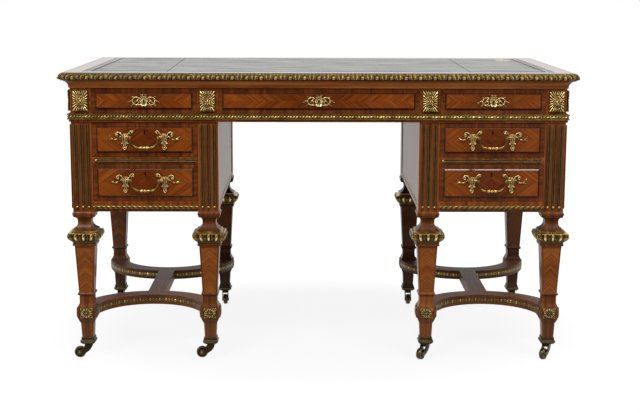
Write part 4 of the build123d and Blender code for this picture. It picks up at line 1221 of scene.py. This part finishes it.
# ==== Bail handles ====
# Two plates of cast and gilded brass carry each bail on its pins, and posts hold them to the drawer. Each
# has a pendant leaf below, a scroll curling back over the pivot, and an arm of S-scrolls that runs outward
# to a leaf.
bail_arm = 0.037
barrel_start, barrel_end = 0.0404, 0.0494
bail_steps = 60
bead_before = 0.0022


def turned(profile, count=24):
    """Profile of (radius, height) in mm, turned about the z axis."""
    a = np.linspace(0, 2 * np.pi, count, endpoint=False)[None]
    line = np.array(profile, float)[:, :, None] / 1000
    return np.stack([line[:, 0] * np.cos(a), line[:, 0] * np.sin(a), line[:, 1] + 0 * a], -1)


def rod(points, count, sides=14):
    """Round rod in the plane y = 0, in mm: a circle carried square to the line whose points are (x, z,
    radius)."""
    line = spline(points, count) / 1000
    a = np.linspace(0, 2 * np.pi, sides, endpoint=False)[None]
    r = np.clip(line[:, 2:3], 0, None)
    x, z = beside(line, r * np.cos(a))
    return np.stack([x, r * np.sin(a), z], -1)


# The tables of the handles are in mm from the pivot's middle. Each line of a plate has its points, the steps
# along it and its notches; beads and bail are points (x, z, radius), and what is turned is (radius, height).
leaf_plate = [
    # pendant leaf, its middle and side ribs, and the loop at its tip
    ([(51.6, 8.0, 6.2, 2.2), (51.6, 2.0, 8.6, 3.2), (51.8, -8.0, 8.4, 3.6), (52.0, -17.0, 8.8, 3.4),
      (52.2, -23.0, 5.6, 2.8), (52.4, -30.0, 4.4, 2.4), (52.6, -35.0, 0.9, 1.2)], 44, 5),
    ([(49.6, 5.0, 1.4, 2.4), (45.6, 0.6, 2.1, 3.2), (42.8, -4.6, 1.8, 2.8), (42.6, -9.0, 0.4, 0.9)], 24, 3),
    ([(54.0, 5.0, 1.4, 2.4), (58.4, 0.2, 2.1, 3.2), (61.0, -5.0, 1.8, 2.8), (60.8, -9.6, 0.4, 0.9)], 24, 3),
    ([(51.7, 8.5, 1.2, 3.0), (51.8, 0.0, 1.9, 5.0), (52.0, -10.0, 1.7, 5.0), (52.2, -20.0, 1.2, 4.0)], 20, 0),
    ([(47.2, 3.0, 1.2, 3.2), (46.6, -5.0, 1.7, 4.4), (46.9, -12.0, 1.5, 4.2),
      (49.6, -19.5, 0.9, 3.4)], 20, 0),
    ([(56.4, 3.0, 1.2, 3.2), (57.2, -5.0, 1.7, 4.4), (57.0, -12.0, 1.5, 4.2),
      (54.6, -19.5, 0.9, 3.4)], 20, 0),
    ([(49.5, -24.0, 0.9, 3.0), (48.2, -28.0, 1.3, 3.6), (50.0, -32.6, 1.4, 3.8), (52.6, -34.4, 1.5, 3.9),
      (55.2, -32.6, 1.4, 3.8), (56.8, -28.0, 1.3, 3.6), (55.4, -24.0, 0.9, 3.0)], 30, 0),
    # scroll back over the pivot, with a leaf under its curl
    ([(48.5, -4.0, 1.8, 3.0), (45.5, 2.5, 2.1, 4.4), (41.2, 8.6, 1.9, 5.0), (37.4, 13.8, 1.9, 5.0),
      (33.2, 16.0, 1.9, 4.8), (29.6, 14.0, 1.7, 4.2), (30.2, 10.6, 1.4, 3.8), (33.0, 10.2, 1.1, 3.4)], 46, 0),
    ([(43.0, 4.0, 1.4, 2.4), (38.5, 7.0, 2.4, 2.8), (34.0, 8.4, 1.6, 2.2), (31.2, 6.6, 0.3, 0.8)], 20, 3),
    # arm: an upper C-scroll, then a long leaf that turns up into two tips
    ([(56.0, -4.0, 1.8, 3.0), (59.0, 3.0, 2.2, 4.4), (63.0, 9.4, 2.1, 4.8), (69.0, 12.0, 2.0, 4.6),
      (74.4, 9.8, 1.9, 4.2), (75.6, 4.6, 1.6, 3.8), (71.8, 1.8, 1.4, 3.4), (68.6, 4.4, 1.1, 3.0)], 46, 0),
    ([(62.0, 2.0, 1.4, 2.6), (66.0, -2.0, 1.9, 3.2), (73.0, -6.4, 2.5, 3.6), (81.0, -8.0, 3.0, 3.6),
      (88.0, -4.6, 2.4, 3.0), (92.0, 0.8, 1.3, 2.2), (93.6, 5.0, 0.3, 0.8)], 40, 4),
    ([(84.0, -6.8, 1.4, 2.4), (89.0, -8.2, 1.5, 2.2), (93.2, -7.6, 0.3, 0.8)], 16, 2),
]
leaf_beads = [(45.4, -17.5, 2.2), (59.0, -17.5, 2.2), (52.4, -28.6, 1.7), (33.4, 12.6, 1.8),
              (71.6, 6.4, 2.0), (63.2, 0.4, 2.0)]
right_bail = [(0, -28.4, 3.4), (2.4, -28.4, 3.4), (4.2, -28.4, 2.3), (6.6, -28.2, 3.7), (10.5, -28.0, 3.5),
              (14.5, -28.0, 2.2), (20.0, -27.3, 2.9), (26.0, -24.8, 2.7), (31.8, -19.4, 2.2),
              (35.0, -13.4, 2.0), (36.6, -8.4, 2.1), (37.0, -4.0, 2.9), (37.0, -0.5, 3.1), (37.0, 2.4, 2.5),
              (37.0, 3.8, 0.0)]
pin = [(0, 0), (1.8, 0), (1.8, 9.9), (1.4, 10.3), (0, 10.3)]
barrel = [(2.0, 0), (3.9, 0), (4.3, 0.5), (4.3, 2.2), (3.7, 2.7), (3.7, 6.2), (4.3, 6.8), (4.3, 8.4),
          (3.8, 9.0), (0, 9.0), (0, 8.2), (2.0, 8.2)]
stalk = [(0, 0), (4.6, 0), (4.6, 0.8), (3.2, 2.2), (2.6, 5.0), (2.8, 9.5), (0, 9.5)]

bail = rod(right_bail, bail_steps)
thickness = np.interp(np.linspace(0, len(right_bail) - 1, bail_steps), range(len(right_bail)),
                      [radius for _, _, radius in right_bail])
bail_tone = np.clip((thickness[:, None] - 1.4) / 1.9, 0.45, 1) * 0.78
pivot = turned(pin)[..., [2, 1, 0]] + (bail_arm, 0, 0)
sleeve = turned(barrel)[..., [2, 1, 0]] + (barrel_start, 0, 0)
post = turned(stalk)[..., [0, 2, 1]] * (1, -1, 1) + ((barrel_start + barrel_end) / 2, 0, 0)
plate = [rib(*leaf) for leaf in leaf_plate]

for name in drawers[3:]:
    front_low, front_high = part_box(f"{name}_drawer_front")
    x, y, z = joint_places[f"{name}_bail_hinge"]
    field_y = front_low.y
    mount, handle = Casting(), Casting()
    for side in (-1, 1):
        flip = np.array([side, 1, 1])
        for grid, tone in plate:
            mount.add(grid * flip + (x, field_y, z), tone)
        for bx, bz, radius in leaf_beads:
            at = (x + side * bx / 1000, field_y - bead_before, z + bz / 1000)
            mount.add(bead(radius / 1000, 1.0) + at, 0.95)
        mount.add(sleeve * flip + (x, y, z), 0.62, loop=True)
        mount.add(post * flip + (x, field_y, z), 0.45)
        handle.add(bail * flip + (x, y, z), bail_tone)
        handle.add(pivot * flip + (x, y, z), 0.4)
    key_z = front_high.z - field_margin - keyhole_below_field
    for grid in lock(front_low, front_high, key_z):
        mount.add(grid, 0.3)
    mount.finish(f"{name}_handle_plates_and_lock", f"{name}_drawer", "gilt_brass", ormolu,
                 f"{name}_drawer_mounts", angle=45)
    handle.finish(f"{name}_bail_rod", f"{name}_drawer_bail", "gilt_brass", ormolu,
                  f"{name}_drawer_bail", angle=60)


# ==== Castors ====
# Cast bronze horns that swivel on stems in the foot cups, each with a solid brass wheel on a riveted axle
# that trails 24 mm behind the stem. Both are dark with age, and the wheel is brighter at its hub and rim.
bronze = gilding("castor_bronze", (12, 9, 7), (30, 22, 15), (58, 44, 28), (120, 98, 64), 0.42)
wheel_brass = gilding("wheel_brass", (14, 14, 9), (38, 36, 24), (72, 66, 44), (134, 120, 84), 0.38)
axle_place = (0.024, 0, 0.0158)
horn_faces = (0.0069, 0.0099)
half_tread = [(2.65, 6.5), (5.6, 6.5), (6.0, 6.1), (6.2, 5.1), (11.4, 4.7), (12.0, 6.0), (12.6, 6.5),
              (14.4, 6.4), (15.4, 4.6), (15.8, 1.6)]
tread = [(radius, -place) for radius, place in half_tread] + half_tread[::-1]
tread_tone = np.interp([radius for radius, _ in tread], [2.6, 6.0, 6.2, 11.4, 12.4, 15.8],
                       [0.6, 0.8, 0.2, 0.25, 0.9, 0.6])
half_axle = [(0, 11.4), (1.9, 11.2), (3.3, 10.4), (3.4, 9.8), (2.45, 9.6)]
axle = [(radius, -place) for radius, place in half_axle] + half_axle[::-1]
boss = [(0, 6.9), (6.2, 6.9), (6.6, 7.3), (6.6, 9.8), (6.1, 10.2), (0, 10.2)]
cheek_path = [(0.2, 38.2, 10.4), (0.8, 33.4, 10.0), (4.6, 27.0, 9.0), (10.8, 21.4, 7.8), (17.4, 17.6, 6.8),
              (24.0, 15.8, 6.4)]


def cheek():
    """Side of a horn: a flat oblong with bevelled edges between the two horn faces, carried along the path
    whose points are (x, z, half width)."""
    line = spline(cheek_path, 20) / 1000
    side = np.array([-0.9, 0.9, 1.0, 1.0, 0.9, -0.9, -1.0, -1.0])[None]
    level = np.array([0, 0, 0.12, 0.84, 1, 1, 0.84, 0.12])[None]
    inner, outer = horn_faces
    x, z = beside(line, line[:, 2:3] * side)
    return capped(np.stack([x, inner + (outer - inner) * level + 0 * x, z], -1))


def on_axle(profile, count, side=1):
    """Profile of (radius, distance from the wheel's middle plane) in mm, turned about the axle's line."""
    return turned(profile, count)[..., [0, 2, 1]] * (1, side, 1) + axle_place


for joint, (wheel_x, wheel_y, _) in joint_places.items():
    if not joint.endswith("castor_roll"):
        continue
    name = joint.removesuffix("_roll")
    stem_x, stem_y, _ = joint_places[f"{name}_swivel"]
    heading = math.degrees(math.atan2(wheel_y - stem_y, wheel_x - stem_x))
    stem_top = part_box(f"{name}_fork")[1].z * 1000
    crown = [(0, 31.2), (7.6, 31.2), (8.6, 32.6), (8.4, 35.4), (10.2, 37.4), (10.9, 38.0), (10.9, 40.2),
             (10.4, 40.7), (3.9, 40.7), (3.9, stem_top - 0.8), (3.2, stem_top), (0, stem_top)]
    parts = [(turned(crown, 36), 0.5)]
    for side in (-1, 1):
        parts += [(cheek() * (1, side, 1), 0.55), (on_axle(boss, 28, side), 0.75)]
    parts.append((on_axle(axle, 20), 0.95))
    horn, wheel = Casting(), Casting()
    for grid, tone in parts:
        horn.add(turned_about(grid, heading) + (stem_x, stem_y, 0), tone)
    disc = turned_about(on_axle(tread, 56), heading) + (stem_x, stem_y, 0)
    wheel.add(disc, tread_tone[:, None], loop=True)
    horn.finish(f"{name}_horn", name, "castor_brass", bronze, f"{name}_fork", angle=35)
    wheel.finish(f"{name}_tread", f"{name}_wheel", "castor_wheel_brass", wheel_brass, f"{name}_wheel",
                 angle=35)
